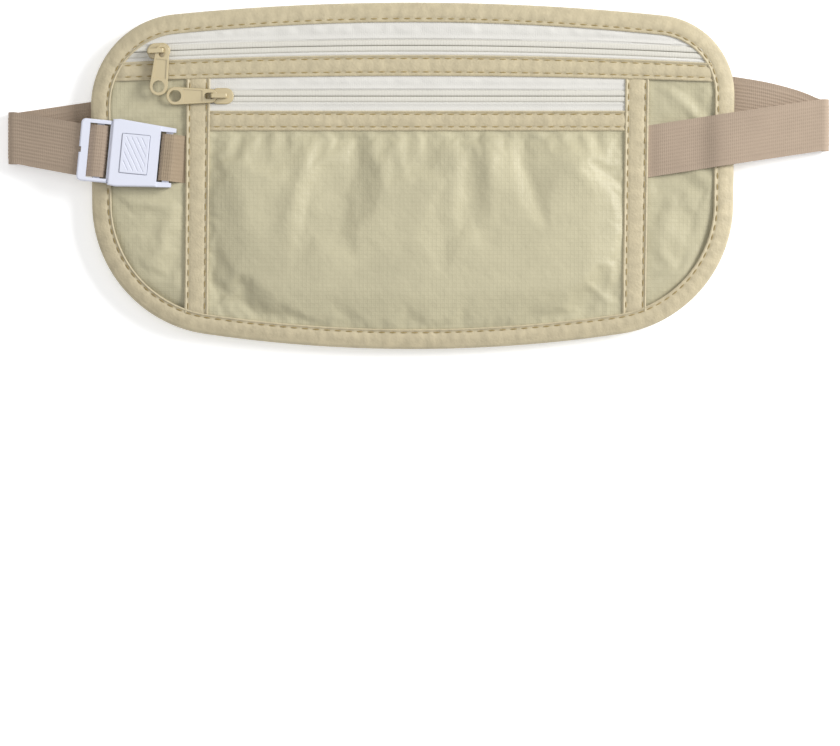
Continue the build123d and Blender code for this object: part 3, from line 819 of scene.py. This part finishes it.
@dataclass
class PouchPanels:
    """The pouch's three cloth panels: back, main front and front pocket."""

    layout: Layout
    cloth: float = 0.5
    back_z: float = 1.5
    front_z: float = 11.7
    flange_inset: float = 2.4
    edge_seam: float = 8.6
    strip_seam: float = 5.1
    back_rim_z: float = 7.6
    back_rim: float = 8.0
    back_slope: float = 16.0
    back_slack: float = 0.9
    pocket_inset: float = 3.5
    pocket_tuck: float = 2.5
    pocket_low_y: float = -60.0
    swell_side: float = 17.0
    swell_top: float = 15.0
    pucker_height: float = 0.34
    pucker_pitch: float = 10.3

    def make(self) -> None:
        """Build, drape and dress the three panels."""
        self.back()
        self.main_front()
        self.front_pocket()

    def _ring(self, inset: float, start: float, end: float) -> Callable[[float], Vector]:
        """A stretch of the outline, moved in, as a curve of a share."""
        outline = self.layout.outline
        return lambda share: outline.at(mix(start, end, share), inset)[0]

    def back(self) -> None:
        """Back panel, a shallow dish towards the table."""
        outline, inset = self.layout.outline, self.flange_inset
        marks = []
        total = 0.0
        for part in outline.parts:
            marks.append(total + part.length / 2)
            total += part.length
        top_right, low_right, low_left, top_left = marks[1], marks[3], marks[6], marks[8]
        place = patch(
            self._ring(inset, low_left, low_right),
            self._ring(inset, top_left, top_right + outline.length),
            self._ring(inset, low_left, top_left),
            self._ring(inset, low_right, top_right),
        )

        def spot(s: float, t: float) -> Vector:
            """Point of the back at two shares."""
            flat = place(s, t)
            d = self._edge_distance(flat.x, flat.y)
            depth = ease((d - self.back_rim) / self.back_slope)
            z = mix(self.back_rim_z, self.back_z + 0.1, depth)
            slack = self.back_slack * max(0.0, wander(flat.x, flat.y, 34.0, 3.0) + 0.1)
            z += depth * slack + self.layout.sag(d)
            return on_belt(flat.x, flat.y, z)

        bm = mapped_sheet(columns=130, rows=70, place=spot)
        bmesh.ops.reverse_faces(bm, faces=bm.faces)
        obj = to_object(bm, "back_cloth")
        thicken(obj, self.cloth)
        finish_piece(obj, RIPSTOP, "pouch", ["back_panel"])

    def _edge_distance(self, x: float, y: float) -> float:
        """Rough distance of a point from the outline's nearest edge."""
        outline = self.layout.outline
        reach = min(outline.half_length - 1.0, abs(x))
        sign = math.copysign(reach, x)
        top = outline.top_y(sign, 0.0) - y
        bottom = y + outline.half_height - outline.bottom_crown * (x / outline.half_length) ** 2
        side = outline.half_length - abs(x)
        corner = 0.0
        if y < 0:
            corner = max(0.0, abs(x) - 84) * max(0.0, -y - 4) / 90
        return max(0.0, min(top, bottom, side) - corner)

    def main_front(self) -> None:
        """Main front panel: the two side areas show, the middle dips behind the front pocket."""
        layout, outline, inset = self.layout, self.layout.outline, self.flange_inset
        right_run = outline.where(1, 45.0, 0, outline.half_way, inset)
        left_run = outline.where(1, 45.0, outline.half_way, outline.length - 1e-6, inset)
        low_right = sum(p.length for p in outline.parts[:3]) + outline.parts[3].length / 2
        low_left = outline.half_way + outline.parts[5].length + outline.parts[6].length / 2
        top_right = outline.at(right_run, inset)[0]
        top_left = outline.at(left_run, inset)[0]
        place = patch(
            self._ring(inset, low_left, low_right),
            lambda share: top_left.lerp(top_right, share),
            self._ring(inset, low_left, left_run),
            self._ring(inset, low_right, right_run),
        )
        folds = [
            Fold((104, 43), (129, 20), 0.7, 2.6),
            Fold((112, -6), (106, -48), 0.5, 4.0),
            Fold((127, -8), (119, -40), -0.4, 4.0),
            Fold((-134, -9), (-101, -14), 0.7, 2.4),
            Fold((-106, -18), (-112, -46), 0.55, 4.0),
            Fold((-124, 26), (-102, 30), 0.4, 3.0),
        ]

        def spot(s: float, t: float) -> Vector:
            """Point of the panel at two shares."""
            flat = place(s, t)
            x, y = flat.x, flat.y
            inside = min(x - layout.left_mid(y), layout.right_mid(y) - x)
            sunk = ease((inside - 4.0) / 7.0)
            z = mix(layout.flange_z, layout.sunk_z, sunk) + layout.sag(self._edge_distance(x, y))
            if sunk == 0:
                z += sum(fold.lift(x, y) for fold in folds) * self._free(x, y)
            return on_belt(x, y, z)

        bm = mapped_sheet(columns=150, rows=66, place=spot)
        obj = to_object(bm, "main_front_cloth")
        left_of = lambda p: layout.left_mid(p.y / MM) - (p.x / MM - POUCH_X)
        right_of = lambda p: (p.x / MM - POUCH_X) - layout.right_mid(p.y / MM)
        held = lambda p: max(left_of(p), right_of(p)) < 5.5 or self._free(
            p.x / MM - POUCH_X, p.y / MM) < 0.05
        ClothSim(grow=0.012, cap=0.9).run(obj, held)
        thicken(obj, self.cloth)
        finish_piece(obj, RIPSTOP, "pouch", ["main_front_panel"])

    def _free(self, x: float, y: float) -> float:
        """0 at the seams and under the edge binding, rising to 1 in the open cloth."""
        edge = self._edge_distance(x, y) - self.edge_seam
        side = max(self.layout.left_mid(y) - x, x - self.layout.right_mid(y)) - self.strip_seam
        top = self.layout.upper_low(x) - y
        return ease(min(edge, side, top) / 7.0)

    def front_pocket(self) -> None:
        """Front pocket panel, swelling forwards, with soft folds and puckers under its strip."""
        layout, outline = self.layout, self.layout.outline
        inset = self.pocket_inset
        top = layout.lower_top - layout.lower_width + self.pocket_tuck
        inner = layout.side_width / 2 - self.pocket_tuck
        left_top = Vector((layout.left_mid(top) + inner, top))
        right_top = Vector((layout.right_mid(top) - inner, top))
        low_run = lambda x: outline.where(
            0, x, outline.half_way - BOTTOM_REACH, outline.half_way + BOTTOM_REACH, inset)
        left_run = low_run(layout.left_mid(self.pocket_low_y) + inner)
        right_run = low_run(layout.right_mid(self.pocket_low_y) - inner)
        low_left = outline.at(left_run, inset)[0]
        low_right = outline.at(right_run, inset)[0]
        place = patch(
            self._ring(inset, left_run, right_run),
            lambda share: left_top.lerp(right_top, share),
            lambda share: low_left.lerp(left_top, share),
            lambda share: low_right.lerp(right_top, share),
        )
        folds = [
            Fold((-43, 19), (-55, -24), 1.1, 4.2),
            Fold((-28, 19), (-24, 0), -1.0, 6.0),
            Fold((-80, 8), (-66, -30), 0.7, 6.5),
            Fold((-16, 16), (-12, -34), 0.5, 6.0),
            Fold((26, 19), (22, -20), -0.7, 4.0),
            Fold((34, 19), (33, -18), 0.9, 4.2),
            Fold((46, 19), (52, -14), -0.6, 4.0),
            Fold((62, 10), (88, -12), 0.6, 5.0),
            Fold((-84, -44), (-40, -60), 0.5, 5.0),
            Fold((30, -52), (84, -44), 0.45, 6.0),
        ]
        edge_y = layout.lower_top - layout.lower_width

        def room(x: float, y: float) -> tuple[float, float]:
            """Distances from a point to the nearer upright seam and to the edge seam."""
            side = min(x - layout.left_mid(y), layout.right_mid(y) - x) - self.strip_seam
            return side, self._edge_distance(x, y) - self.edge_seam

        def rise(x: float, y: float) -> float:
            """How far the pocket has swollen at a point, 0 to 1."""
            return ease(min(room(x, y)) / self.swell_side) * ease((edge_y - y) / self.swell_top)

        def pucker(x: float, y: float) -> float:
            """Small gathers under the lower strip, uneven in pitch."""
            depth = edge_y - y
            wave = math.sin(2 * math.pi * (x + 3.0 * wander(x, 0, 15.0)) / self.pucker_pitch)
            return self.pucker_height * wave * bell(depth - 2.5, 6.0) * ease((depth + 0.5) / 2.0)

        def spot(s: float, t: float) -> Vector:
            """Point of the pocket at two shares."""
            flat = place(s, t)
            x, y = flat.x, flat.y
            swell = rise(x, y)
            z = mix(layout.cloth_z, self.front_z, swell) + layout.sag(self._edge_distance(x, y))
            side, bottom = room(x, y)
            soft = ease((edge_y - y) / 5.0) * ease(side / 6.0) * ease(bottom / 6.0)
            z += soft * sum(fold.lift(x, y) for fold in folds)
            z += pucker(x, y) + 0.3 * soft * wander(x, y, 22.0, 1.0)
            return on_belt(x, y, z)

        bm = mapped_sheet(columns=132, rows=66, place=spot)
        obj = to_object(bm, "front_pocket_cloth")

        def held(p: Vector) -> bool:
            """Whether a point lies under a seam."""
            x, y = p.x / MM - POUCH_X, p.y / MM
            side = min(x - layout.left_mid(y), layout.right_mid(y) - x)
            return side < 5.3 or y > edge_y - 0.4 or self._edge_distance(x, y) < 8.8

        ClothSim(grow=0.013, cap=1.4).run(obj, held)
        thicken(obj, self.cloth)
        finish_piece(obj, RIPSTOP, "pouch", ["front_pocket_panel"])


@dataclass
class Bindings:
    """The folded binding round the edge and the four strips on the front, with their stitches."""

    layout: Layout
    width: float = 8.6
    leaf: float = 0.5
    low_z: float = 7.0
    pitch: float = 4.8
    row_high: float = 1.5
    row_low: float = 1.7
    row_end: float = 3.2
    tuck_depth: float = 0.62
    tuck_flat: float = 1.2
    tuck_ramp: float = 2.6

    def make(self) -> None:
        """Build the edge binding, the strips and the stitches."""
        self.edge()
        self.strips()

    def _edge_profile(self, run: float) -> Profile:
        """Section of the edge binding: distance from the outline and height."""
        top, low, leaf, width = self.layout.strip_z, self.low_z, self.leaf, self.width
        beat = math.cos(2 * math.pi * run / self.pitch)
        lump = 0.12 * noise.noise(Vector((run / 3.1, 0, 5.0)))
        points: Profile = []
        for i in range(15):
            d = mix(width, 1.1, i / 14)
            hem = 0.36 * bell(d - (width - 0.5), 0.45)
            groove = -0.3 * bell(d - (width - 1.5), 0.5) * (1 - 0.6 * beat)
            puff = 0.35 * bell(d - 4.2, 2.2) * (1 + 0.3 * beat)
            points.append((d + (0.12 * lump if i == 0 else 0), top + hem + groove + puff + 0.5 * lump))
        middle = (top + low) / 2
        for i in range(1, 7):
            angle = math.pi * i / 7
            points.append((1.1 - 1.1 * math.sin(angle), middle + (top - middle) * math.cos(angle)))
        for i in range(6):
            points.append((mix(1.1, width, i / 5), low))
        points += [(width, low + leaf), (3.0, low + leaf), (1.2, middle), (3.0, top - leaf),
                   (width - 0.6, top - leaf)]
        return [(d, z + self.layout.sag(d)) for d, z in points]

    def edge(self) -> None:
        """Edge binding with a stitch row on each face."""
        outline = self.layout.outline
        count = round(outline.length / 1.15)
        stands = []
        for i in range(count):
            run = i * outline.length / count
            point, inward = outline.at(run)
            stands.append(Stand(point.to_3d(), inward.to_3d(), Vector((0, 0, 1)), run))
        obj = swept("edge_binding_fold", stands, self._edge_profile, ring=True)
        finish_piece(obj, BINDING, "pouch", ["edge_binding"])
        stitching = Stitching(pitch=self.pitch)
        d = self.width - self.row_high
        for face in (self.layout.strip_z + 0.02, self.low_z - 0.02):
            height = Vector((0, 0, face + self.layout.sag(d)))
            stitching.row(lambda run, up=height: outline.at(run, d)[0].to_3d() + up, outline.length)
        stitching.make("edge_binding_stitches")

    def _strip_profile(self, half_low: float, half_high: float, run: float, tuck: float) -> Profile:
        """Section of a strip, from its lower edge to its upper one, lowered where it tucks under."""
        base, top = self.layout.cloth_z, self.layout.strip_z
        beat = math.cos(2 * math.pi * run / self.pitch)
        steps = 18
        points: Profile = []
        for i in range(steps + 1):
            a = mix(-half_low, half_high, i / steps)
            from_low, from_high = a + half_low, half_high - a
            hem = 0.38 * (bell(from_low - 0.45, 0.42) + bell(from_high - 0.45, 0.42))
            groove = 0.3 * (bell(from_low - 1.6, 0.45) + bell(from_high - 1.5, 0.45)) * (1 - 0.6 * beat)
            puff = 0.32 * bell(a, half_high * 0.55) * (1 + 0.3 * beat)
            points.append((a, top + hem - groove + puff - tuck))
        points += [(half_high, base - tuck), (0.0, base - tuck), (-half_low, base - tuck)]
        return points

    def _tuck(self, share: float, length: float) -> float:
        """How far a strip is lowered at a share of its length, to slip under its neighbours."""
        near = min(share * length, (1 - share) * length)
        return self.tuck_depth * (1 - ease((near - self.tuck_flat) / self.tuck_ramp))

    def _band(
        self,
        name: str,
        middle: Callable[[float], Vector],
        length: float,
        half: Callable[[float], float],
        node: str,
    ) -> None:
        """A strip along a curve.

        Args:
            name: the piece's name.
            middle: the strip's middle line, in millimetres, at a share of its length.
            length: its length.
            half: half its width at a share of its length.
            node: the CAD node that it stands for.
        """
        count = round(length / 1.1)
        stands = []
        for i in range(count + 1):
            share = i / count
            heading = middle(min(1.0, share + 0.002)) - middle(max(0.0, share - 0.002))
            across = Vector((-heading.y, heading.x, 0)).normalized()
            stands.append(Stand(middle(share), across, Vector((0, 0, 1)), share * length))
        shape = lambda run: self._strip_profile(
            half(run / length), half(run / length), run, self._tuck(run / length, length))
        finish_piece(swept(name, stands, shape), BINDING, "pouch", [node])

    def strips(self) -> None:
        """The four strips on the front and their stitch rows."""
        layout, outline = self.layout, self.layout.outline
        stitching = Stitching(pitch=self.pitch)
        z = layout.strip_z + 0.05
        left = outline.left_x(46.5, 5.6)
        right = outline.right_x(46.5, 5.6)

        def upper(share: float) -> Vector:
            """Middle of the upper strip at a share of its length."""
            x = mix(left, right, share)
            high = layout.chain_y(x, -layout.strip_to_chain)
            return Vector((x, (high + layout.upper_low(x)) / 2, 0))

        def upper_half(share: float) -> float:
            """Half of the upper strip's width at a share of its length."""
            x = mix(left, right, share)
            return (layout.chain_y(x, -layout.strip_to_chain) - layout.upper_low(x)) / 2

        self._band("upper_strip", upper, right - left, upper_half, "upper_binding_strip")
        free = (left + 4.0, right - 4.0)
        for edge in ("high", "low"):
            def seam(run: float, edge: str = edge) -> Vector:
                """A point of the upper strip's stitch row."""
                x = free[0] + run
                high = layout.chain_y(x, -layout.strip_to_chain) - self.row_high
                return Vector((x, high if edge == "high" else layout.upper_low(x) + self.row_low, z))

            stitching.row(seam, free[1] - free[0])
        middle_y = layout.lower_top - layout.lower_width / 2
        reach = layout.side_width / 2 - 2.6
        start, end = layout.left_mid(middle_y) + reach, layout.right_mid(middle_y) - reach
        lower = lambda share: Vector((mix(start, end, share), middle_y, 0))
        self._band("lower_strip", lower, end - start, lambda _: layout.lower_width / 2, "lower_binding_strip")
        first, both = start + self.row_end, 2 * self.row_end
        for y in (layout.lower_top - self.row_high, layout.lower_top - layout.lower_width + self.row_low):
            stitching.row(lambda run, y=y: Vector((first + run, y, z)), end - start - both)
        for name, mid, node in (
            ("left_strip", layout.left_mid, "left_binding"),
            ("right_strip", layout.right_mid, "right_binding"),
        ):
            high = layout.upper_low(mid(44)) + 2.6
            low = self._bottom(mid(-60)) - 3.0
            line = lambda share, mid=mid: Vector((mid(mix(low, high, share)), mix(low, high, share), 0))
            self._band(name, line, high - low, lambda _: layout.side_width / 2, node)
            for side in (-1, 1):
                off = side * (layout.side_width / 2 - self.row_high)

                def upright(run: float, mid: Callable = mid, off: float = off, low: float = low) -> Vector:
                    """A point of this stitch row."""
                    y = low + self.row_end + run
                    return Vector((mid(y) + off, y, z))

                stitching.row(upright, high - low - both)
        stitching.make("strip_stitches")

    def _bottom(self, x: float) -> float:
        """Y of the edge binding's inner edge at the bottom of the pouch, at x."""
        outline = self.layout.outline
        half = outline.half_way
        run = outline.where(0, x, half - BOTTOM_REACH, half + BOTTOM_REACH, self.width)
        return outline.at(run, self.width)[0].y


@dataclass
class Zips:
    """Tapes and coils of both zips."""

    layout: Layout
    gap: float = 0.06
    coil: float = 2.4
    coil_low: float = 8.15
    coil_high: float = 9.35
    tick: float = 1.25
    tape: float = 0.5
    coil_step: float = 0.31
    coil_end_y: float = 53.4
    tape_end_y: float = 54.5
    under_coil: float = 0.9
    under_binding: float = 5.0

    def make(self) -> None:
        """Build both zips."""
        self.top_tapes()
        self.pocket_tapes()
        layout = self.layout
        outline, level = layout.outline, self.coil_end_y
        reach = outline.left_x(level, 7.0), outline.right_x(level, 7.0)
        for side, word in ((1, "upper"), (-1, "lower")):
            away = side * (self.gap + self.coil / 2)
            arch = lambda x, away=away: layout.chain_y(x, away)
            self._coil(f"top_coil_{word}", arch, reach, f"top_zip_coil_{word}")
            y = layout.pocket_chain
            ends = (layout.left_mid(y) + 3.4, layout.right_mid(y) - 3.4)
            self._coil(f"pocket_coil_{word}", lambda x, away=away: y + away, ends, f"pocket_zip_coil_{word}")

    def _coil(self, name: str, y_of: Callable[[float], float], ends: tuple[float, float], node: str) -> None:
        """One half of a zip's chain: a smooth ridge with a fine tick for each turn."""
        count = round((ends[1] - ends[0]) / self.coil_step)
        points = []
        for i in range(count + 1):
            x = mix(ends[0], ends[1], i / count)
            points.append(Vector((x, y_of(x), 0)))
        stands = along(points, [Vector((0, 1, 0))] * len(points))

        def shape(run: float) -> Profile:
            """Section of the coil at a distance along it."""
            dip = 0.5 - 0.5 * math.cos(2 * math.pi * run / self.tick)
            return lens_profile(self.coil, self.coil_low, self.coil_high - 0.07 * dip, 5)

        obj = swept(name, stands, shape, sharp=80.0)
        finish_piece(obj, COIL, "pouch", [node])

    def _tape(
        self, name: str, place: Callable[[float, float], Vector], node: str, columns: int, rows: int
    ) -> None:
        """One half of a zip's tape."""
        obj = to_object(mapped_sheet(columns, rows, place), name)
        thicken(obj, self.tape, 0)
        finish_piece(obj, TAPE, "pouch", [node])

    def _relief(self, a: float, x: float, room: float) -> float:
        """Height of a tape's face at a distance from the chain: a woven ridge, then open cloth."""
        ridge = 0.32 * bell(a - 3.5, 0.45) - 0.4 * bell(a - 2.6, 0.35) - 0.1 * bell(a - 4.6, 0.4)
        open_cloth = ease((a - 4.5) / 2.5) * ease((room - a) / 2.0)
        waves = 0.45 * wander(x, 0, 9.0, 7.0) + 0.3 * wander(x, a, 4.0, 2.0)
        return self.layout.cloth_z + ridge + open_cloth * (0.25 + waves)

    def top_tapes(self) -> None:
        """Tapes of the arched top zip; the upper one runs up to the edge binding."""
        layout, outline = self.layout, self.layout.outline
        level, inset, first = self.tape_end_y, self.under_binding, self.under_coil
        left, right = outline.left_x(level, inset), outline.right_x(level, inset)

        def upper(s: float, t: float) -> Vector:
            """Point of the upper tape."""
            x = mix(left, right, s)
            low = layout.chain_y(x, first)
            high = max(low + 0.2, outline.top_y(x, inset))
            y = mix(low, high, t)
            sunk = layout.sag(inset + high - y)
            return on_belt(x, y, self._relief(y - low + first, x, high - low - 2.5) + sunk)

        def lower(s: float, t: float) -> Vector:
            """Point of the lower tape."""
            x = mix(left - 2.5, right + 2.5, s)
            a = mix(first, layout.strip_to_chain + 2.0, t)
            return on_belt(x, layout.chain_y(x, -a), self._relief(a, x, 4.0))

        self._tape("top_tape_upper", upper, "top_zip_tape_upper", columns=260, rows=16)
        self._tape("top_tape_lower", lower, "top_zip_tape_lower", columns=260, rows=10)

    def pocket_tapes(self) -> None:
        """Tapes of the straight pocket zip."""
        layout = self.layout
        y0 = layout.pocket_chain
        left, right = layout.left_mid(y0) + 2.8, layout.right_mid(y0) - 2.8
        high = lambda x: layout.upper_low(x) + 2.0 - y0
        low = y0 - layout.lower_top + 2.0
        for word, sign, reach in (("upper", 1, high), ("lower", -1, lambda _: low)):
            def place(s: float, t: float, sign: int = sign, reach: Callable = reach) -> Vector:
                """Point of this tape."""
                x = mix(left, right, s)
                a = mix(self.under_coil, reach(x), t)
                return on_belt(x, y0 + sign * a, self._relief(a, x, reach(x) - 2.5))

            self._tape(f"pocket_tape_{word}", place, f"pocket_zip_tape_{word}", columns=190, rows=12)


# ---- Strap ----
@dataclass
class BuckleFrame:
    """The buckle's own frame: U along the strap, V across it, height from its underside."""

    x: float = -123.0
    y: float = 9.3
    z: float = 9.8
    turn: float = math.radians(-5.5)

    def point(self, u: float, height: float) -> Vector:
        """A point on the buckle's middle line, in millimetres about the pouch."""
        return Vector((self.x + u * math.cos(self.turn), self.y + u * math.sin(self.turn), self.z + height))

    def across(self) -> Vector:
        """Direction across the strap in the buckle."""
        return Vector((-math.sin(self.turn), math.cos(self.turn), 0))


@dataclass
class Strap:
    """One ribbed elastic from the right seam, round the back, to the buckle."""

    layout: Layout
    buckle: BuckleFrame
    width: float = 22.4
    thickness: float = 1.2
    ribs: int = 15
    rib: float = 0.2
    selvage: float = 1.5
    fold: float = 3.0
    left_x: float = -171.8
    right_x: float = 177.0
    left_y: float = 16.4
    right_y: float = 22.0
    seam_x: float = 102.2
    seam_y: float = 10.5
    wrap: float = 1.5
    tail_turn: float = 1.9
    entry_u: float = -22.5
    ramp_u: float = -16.9
    crest_u: float = -14.3
    bar_u: float = -10.9
    tail_u: float = -42.5
    run_height: float = 2.3
    tail_height: float = -2.6

    def path(self) -> tuple[list[Vector], list[Vector]]:
        """Points and across directions along the strap's middle, in millimetres."""
        flat = Vector((0, 1, 0))
        rise = (self.right_y - self.seam_y) / (self.right_x - self.seam_x)
        half = self.thickness / 2
        front_levels = [(-6.0, 8.75), (0.5, 8.75), (5.0, 9.5), (14.0, 9.9), (23.5, 9.4), (29.5, 11.4),
                        (36.0, 11.2), (50.0, 9.7),
                        (self.right_x - self.seam_x, 2 * self.fold + half)]
        knots = [Vector((self.seam_x + dx, self.seam_y + rise * dx, z)) for dx, z in front_levels]
        points = smoothed(dense(knots, 1.3), 6)
        points += self._turn(self.right_x, self.right_y, 1)
        back = [Vector((self.right_x, self.right_y, half)), Vector((171, 25.2, half)),
                Vector((154, 29.8, half)), Vector((132, 33.2, half)),
                Vector((-130, 22.5, half)), Vector((self.left_x, self.left_y, half))]
        points += smoothed(dense(back, 2.2), 10)[1:]
        points += list(reversed(self._turn(self.left_x, self.left_y, -1)))
        across = [flat] * len(points)
        buckle = self.buckle
        end = buckle.point(self.entry_u, self.run_height)
        top = Vector((self.left_x, self.left_y, 2 * self.fold + half))
        run = dense([top, end], 1.3)[1:]
        points += run
        across += [flat.lerp(buckle.across(), ease(i / len(run))).normalized() for i in range(len(run))]
        high = self.run_height + self.wrap
        inside = [buckle.point(u, h) for u, h in (
            (self.entry_u, self.run_height), (self.ramp_u, self.run_height),
            (self.crest_u, high), (self.bar_u, high))]
        inside = smoothed(dense(inside, 0.6), 2)[1:]
        inside += [
            buckle.point(self.bar_u + self.wrap * out, self.run_height + self.wrap * up)
            for out, up in half_turn(10)
        ]
        low = self.run_height - self.wrap
        tail = [buckle.point(u, h) for u, h in (
            (self.bar_u, low), (self.entry_u, low), (self.tail_u, self.tail_height))]
        tail[-1].y += self.tail_turn
        inside += smoothed(dense(tail, 1.2), 3)
        points += inside
        across += [buckle.across()] * len(inside)
        return points, across

    def _turn(self, x: float, y: float, side: int) -> list[Vector]:
        """The half turn at an end, from above to below."""
        half = self.thickness / 2
        middle = half + self.fold
        return [
            Vector((x + side * self.fold * out, y, middle + self.fold * up)) for out, up in half_turn(14)
        ]

    def _profile(self, run: float) -> Profile:
        """Ribbed section; the sewn end is pressed thin."""
        press = mix(0.42, 1.0, ease((run - 6.0) / 5.0))
        half = self.thickness / 2 * press
        face = []
        for a, height in ribbed(self.width, half, self.ribs, self.rib * press):
            inward = self.width / 2 - abs(a)
            edge = 0.35 * bell(inward, 0.35) * press
            seam = 0.22 * bell(inward - self.selvage, 0.45) * press
            face.append((a, height - edge * half - seam))
        return face + [(a, -b) for a, b in reversed(face)]

    def make(self) -> None:
        """Build the strap and bend it between the pouch and the sliding latch."""
        points, across = self.path()
        stands = along(points, across)
        obj = swept("strap", stands, self._profile, sharp=70.0)
        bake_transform(obj, "pouch", "buckle_latch", start=(0.100, 0, 0), end=(-0.125, 0, 0))
        finish_piece(obj, ELASTIC, "", ["elastic_strap"])


@dataclass
class Tab:
    """Woven tab from under the left strip, looped over the buckle's end bar."""

    layout: Layout
    buckle: BuckleFrame
    width: float = 20.2
    thickness: float = 1.0
    ribs: int = 12
    rib: float = 0.18
    bar_left: float = 15.9
    bar_right: float = 18.9

    def make(self) -> None:
        """Build the tab."""
        buckle = self.buckle
        strip_edge = self.layout.left_mid(buckle.y) - self.layout.side_width / 2
        seam = (strip_edge - buckle.x) / math.cos(buckle.turn)
        flat = seam - self.width / 2 * math.tan(-buckle.turn) - 0.3
        seam_h = 8.5 - buckle.z
        half = self.thickness / 2
        over, under = 3.2 + half, 1.4 - half
        upper = [(seam + 5.5, seam_h + 0.36), (flat, seam_h + 0.36), (self.bar_right + 0.4, over),
                 (self.bar_left - 0.1, over)]
        lower = [(self.bar_left - 0.1, under), (self.bar_right + 0.4, under), (flat, seam_h + 0.14),
                 (seam + 5.5, seam_h + 0.14)]
        points = smoothed(dense([buckle.point(*k) for k in upper], 0.6), 2)
        middle, radius = (over + under) / 2, (over - under) / 2
        for out, up in half_turn(10, -1):
            points.append(buckle.point(self.bar_left - 0.1 + radius * out, middle + radius * up))
        points += smoothed(dense([buckle.point(*k) for k in lower], 0.6), 2)
        stands = along(points, [-buckle.across()] * len(points))
        total = stands[-1].run
        obj = swept("tab", stands, lambda run: self._profile(run, total), sharp=70.0)
        finish_piece(obj, WEBBING, "pouch", ["webbing_tab"])

    def _profile(self, run: float, total: float) -> Profile:
        """Ribbed section, pressed thin at the sewn ends."""
        near = min(run, total - run)
        press = mix(0.3, 1.0, ease((near - 6.0) / 4.0))
        half = self.thickness / 2 * press
        face = ribbed(self.width, half, self.ribs, self.rib * press)
        return face + [(a, -b) for a, b in reversed(face)]


# ---- Hardware ----
@dataclass
class Hardware:
    """Buckle, sliders and pulls: the CAD shapes with their edges softened."""

    soften: float = 0.22

    def make(self) -> None:
        """Dress each moulded or cast piece."""
        for node, body, finish in (
            ("buckle_body", "pouch", PLASTIC),
            ("buckle_latch", "buckle_latch", PLASTIC),
            ("release_button", "release_button", PLASTIC),
            ("top_zip_slider", "top_zip_slider", ENAMEL),
            ("pocket_zip_slider", "pocket_zip_slider", ENAMEL),
            ("top_zip_pull", "top_zip_pull", ENAMEL),
            ("pocket_zip_pull", "pocket_zip_pull", ENAMEL),
        ):
            obj = self._softened(node)
            finish_piece(obj, finish, body, [node])

    def _softened(self, node: str) -> bpy.types.Object:
        """A merged copy of a CAD node with its sharp edges rounded a little."""
        bm = bmesh.new()
        bm.from_mesh(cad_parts[node].data)
        bmesh.ops.remove_doubles(bm, verts=bm.verts, dist=2e-6)
        bmesh.ops.dissolve_limit(bm, angle_limit=math.radians(1.0), verts=bm.verts, edges=bm.edges)
        sharp = [e for e in bm.edges if len(e.link_faces) == 2 and e.calc_face_angle(0) > math.radians(35)]
        bmesh.ops.bevel(
            bm, geom=sharp, affect="EDGES", offset=self.soften * MM, segments=2, profile=0.5,
            material=-1, clamp_overlap=True,
        )
        bmesh.ops.remove_doubles(bm, verts=bm.verts, dist=1e-7)
        bmesh.ops.recalc_face_normals(bm, faces=bm.faces)
        obj = to_object(bm, f"{node}_moulding", 30.0)
        level = obj.modifiers.new("level faces", "WEIGHTED_NORMAL")
        level.keep_sharp = True
        return obj


# ---- Studio ----
@dataclass
class Studio:
    """Pale floor, soft light from the upper right and the camera straight above."""

    aim: tuple[float, float] = (0.0006, -0.0853)
    distance: float = 2.0
    seen_width: float = 0.363
    belt_height: float = 0.009
    sensor: float = 36.0
    floor_size: float = 6.0

    def make(self) -> None:
        """Set up floor, lights, surroundings and camera."""
        bm = bmesh.new()
        bmesh.ops.create_grid(bm, x_segments=1, y_segments=1, size=self.floor_size / 2)
        floor = to_object(bm, "floor")
        floor.data.materials.append(FLOOR.material())
        self._lamp("key", (1.5, 0.55, 1.0), 0.8, 37.0)
        self._lamp("fill", (-1.3, -0.6, 1.6), 1.6, 5.0)
        self._lamp("overhead", (0.0, 0.3, 2.6), 1.6, 12.0)
        world = bpy.data.worlds.new("surroundings")
        world.use_nodes = True
        world.node_tree.nodes["Background"].inputs["Color"].default_value = (1, 1, 1, 1)
        world.node_tree.nodes["Background"].inputs["Strength"].default_value = 0.38
        bpy.context.scene.world = world
        bpy.context.scene.view_settings.view_transform = "Standard"
        self._camera()

    def _lamp(self, name: str, place: tuple[float, float, float], size: float, power: float) -> None:
        """An area light that faces the belt."""
        data = bpy.data.lights.new(name, "AREA")
        data.shape = "SQUARE"
        data.size = size
        data.energy = power
        lamp = bpy.data.objects.new(name, data)
        lamp.location = place
        lamp.rotation_euler = (-Vector(place)).to_track_quat("-Z", "Y").to_euler()
        bpy.context.scene.collection.objects.link(lamp)

    def _camera(self) -> None:
        """A long lens straight above, so that nothing leans."""
        data = bpy.data.cameras.new("camera")
        data.sensor_width = self.sensor
        data.lens = self.sensor * (self.distance - self.belt_height) / self.seen_width
        camera = bpy.data.objects.new("camera", data)
        camera.location = (self.aim[0], self.aim[1], self.distance)
        bpy.context.scene.collection.objects.link(camera)
        bpy.context.scene.camera = camera


def main() -> None:
    """Build every sub-assembly in order."""
    logging.basicConfig(level=logging.INFO, format="%(message)s")
    layout = Layout()
    buckle = BuckleFrame()
    Studio().make()
    PouchPanels(layout).make()
    Bindings(layout).make()
    Zips(layout).make()
    Strap(layout, buckle).make()
    Tab(layout, buckle).make()
    Hardware().make()


if __name__ == "__main__":
    main()
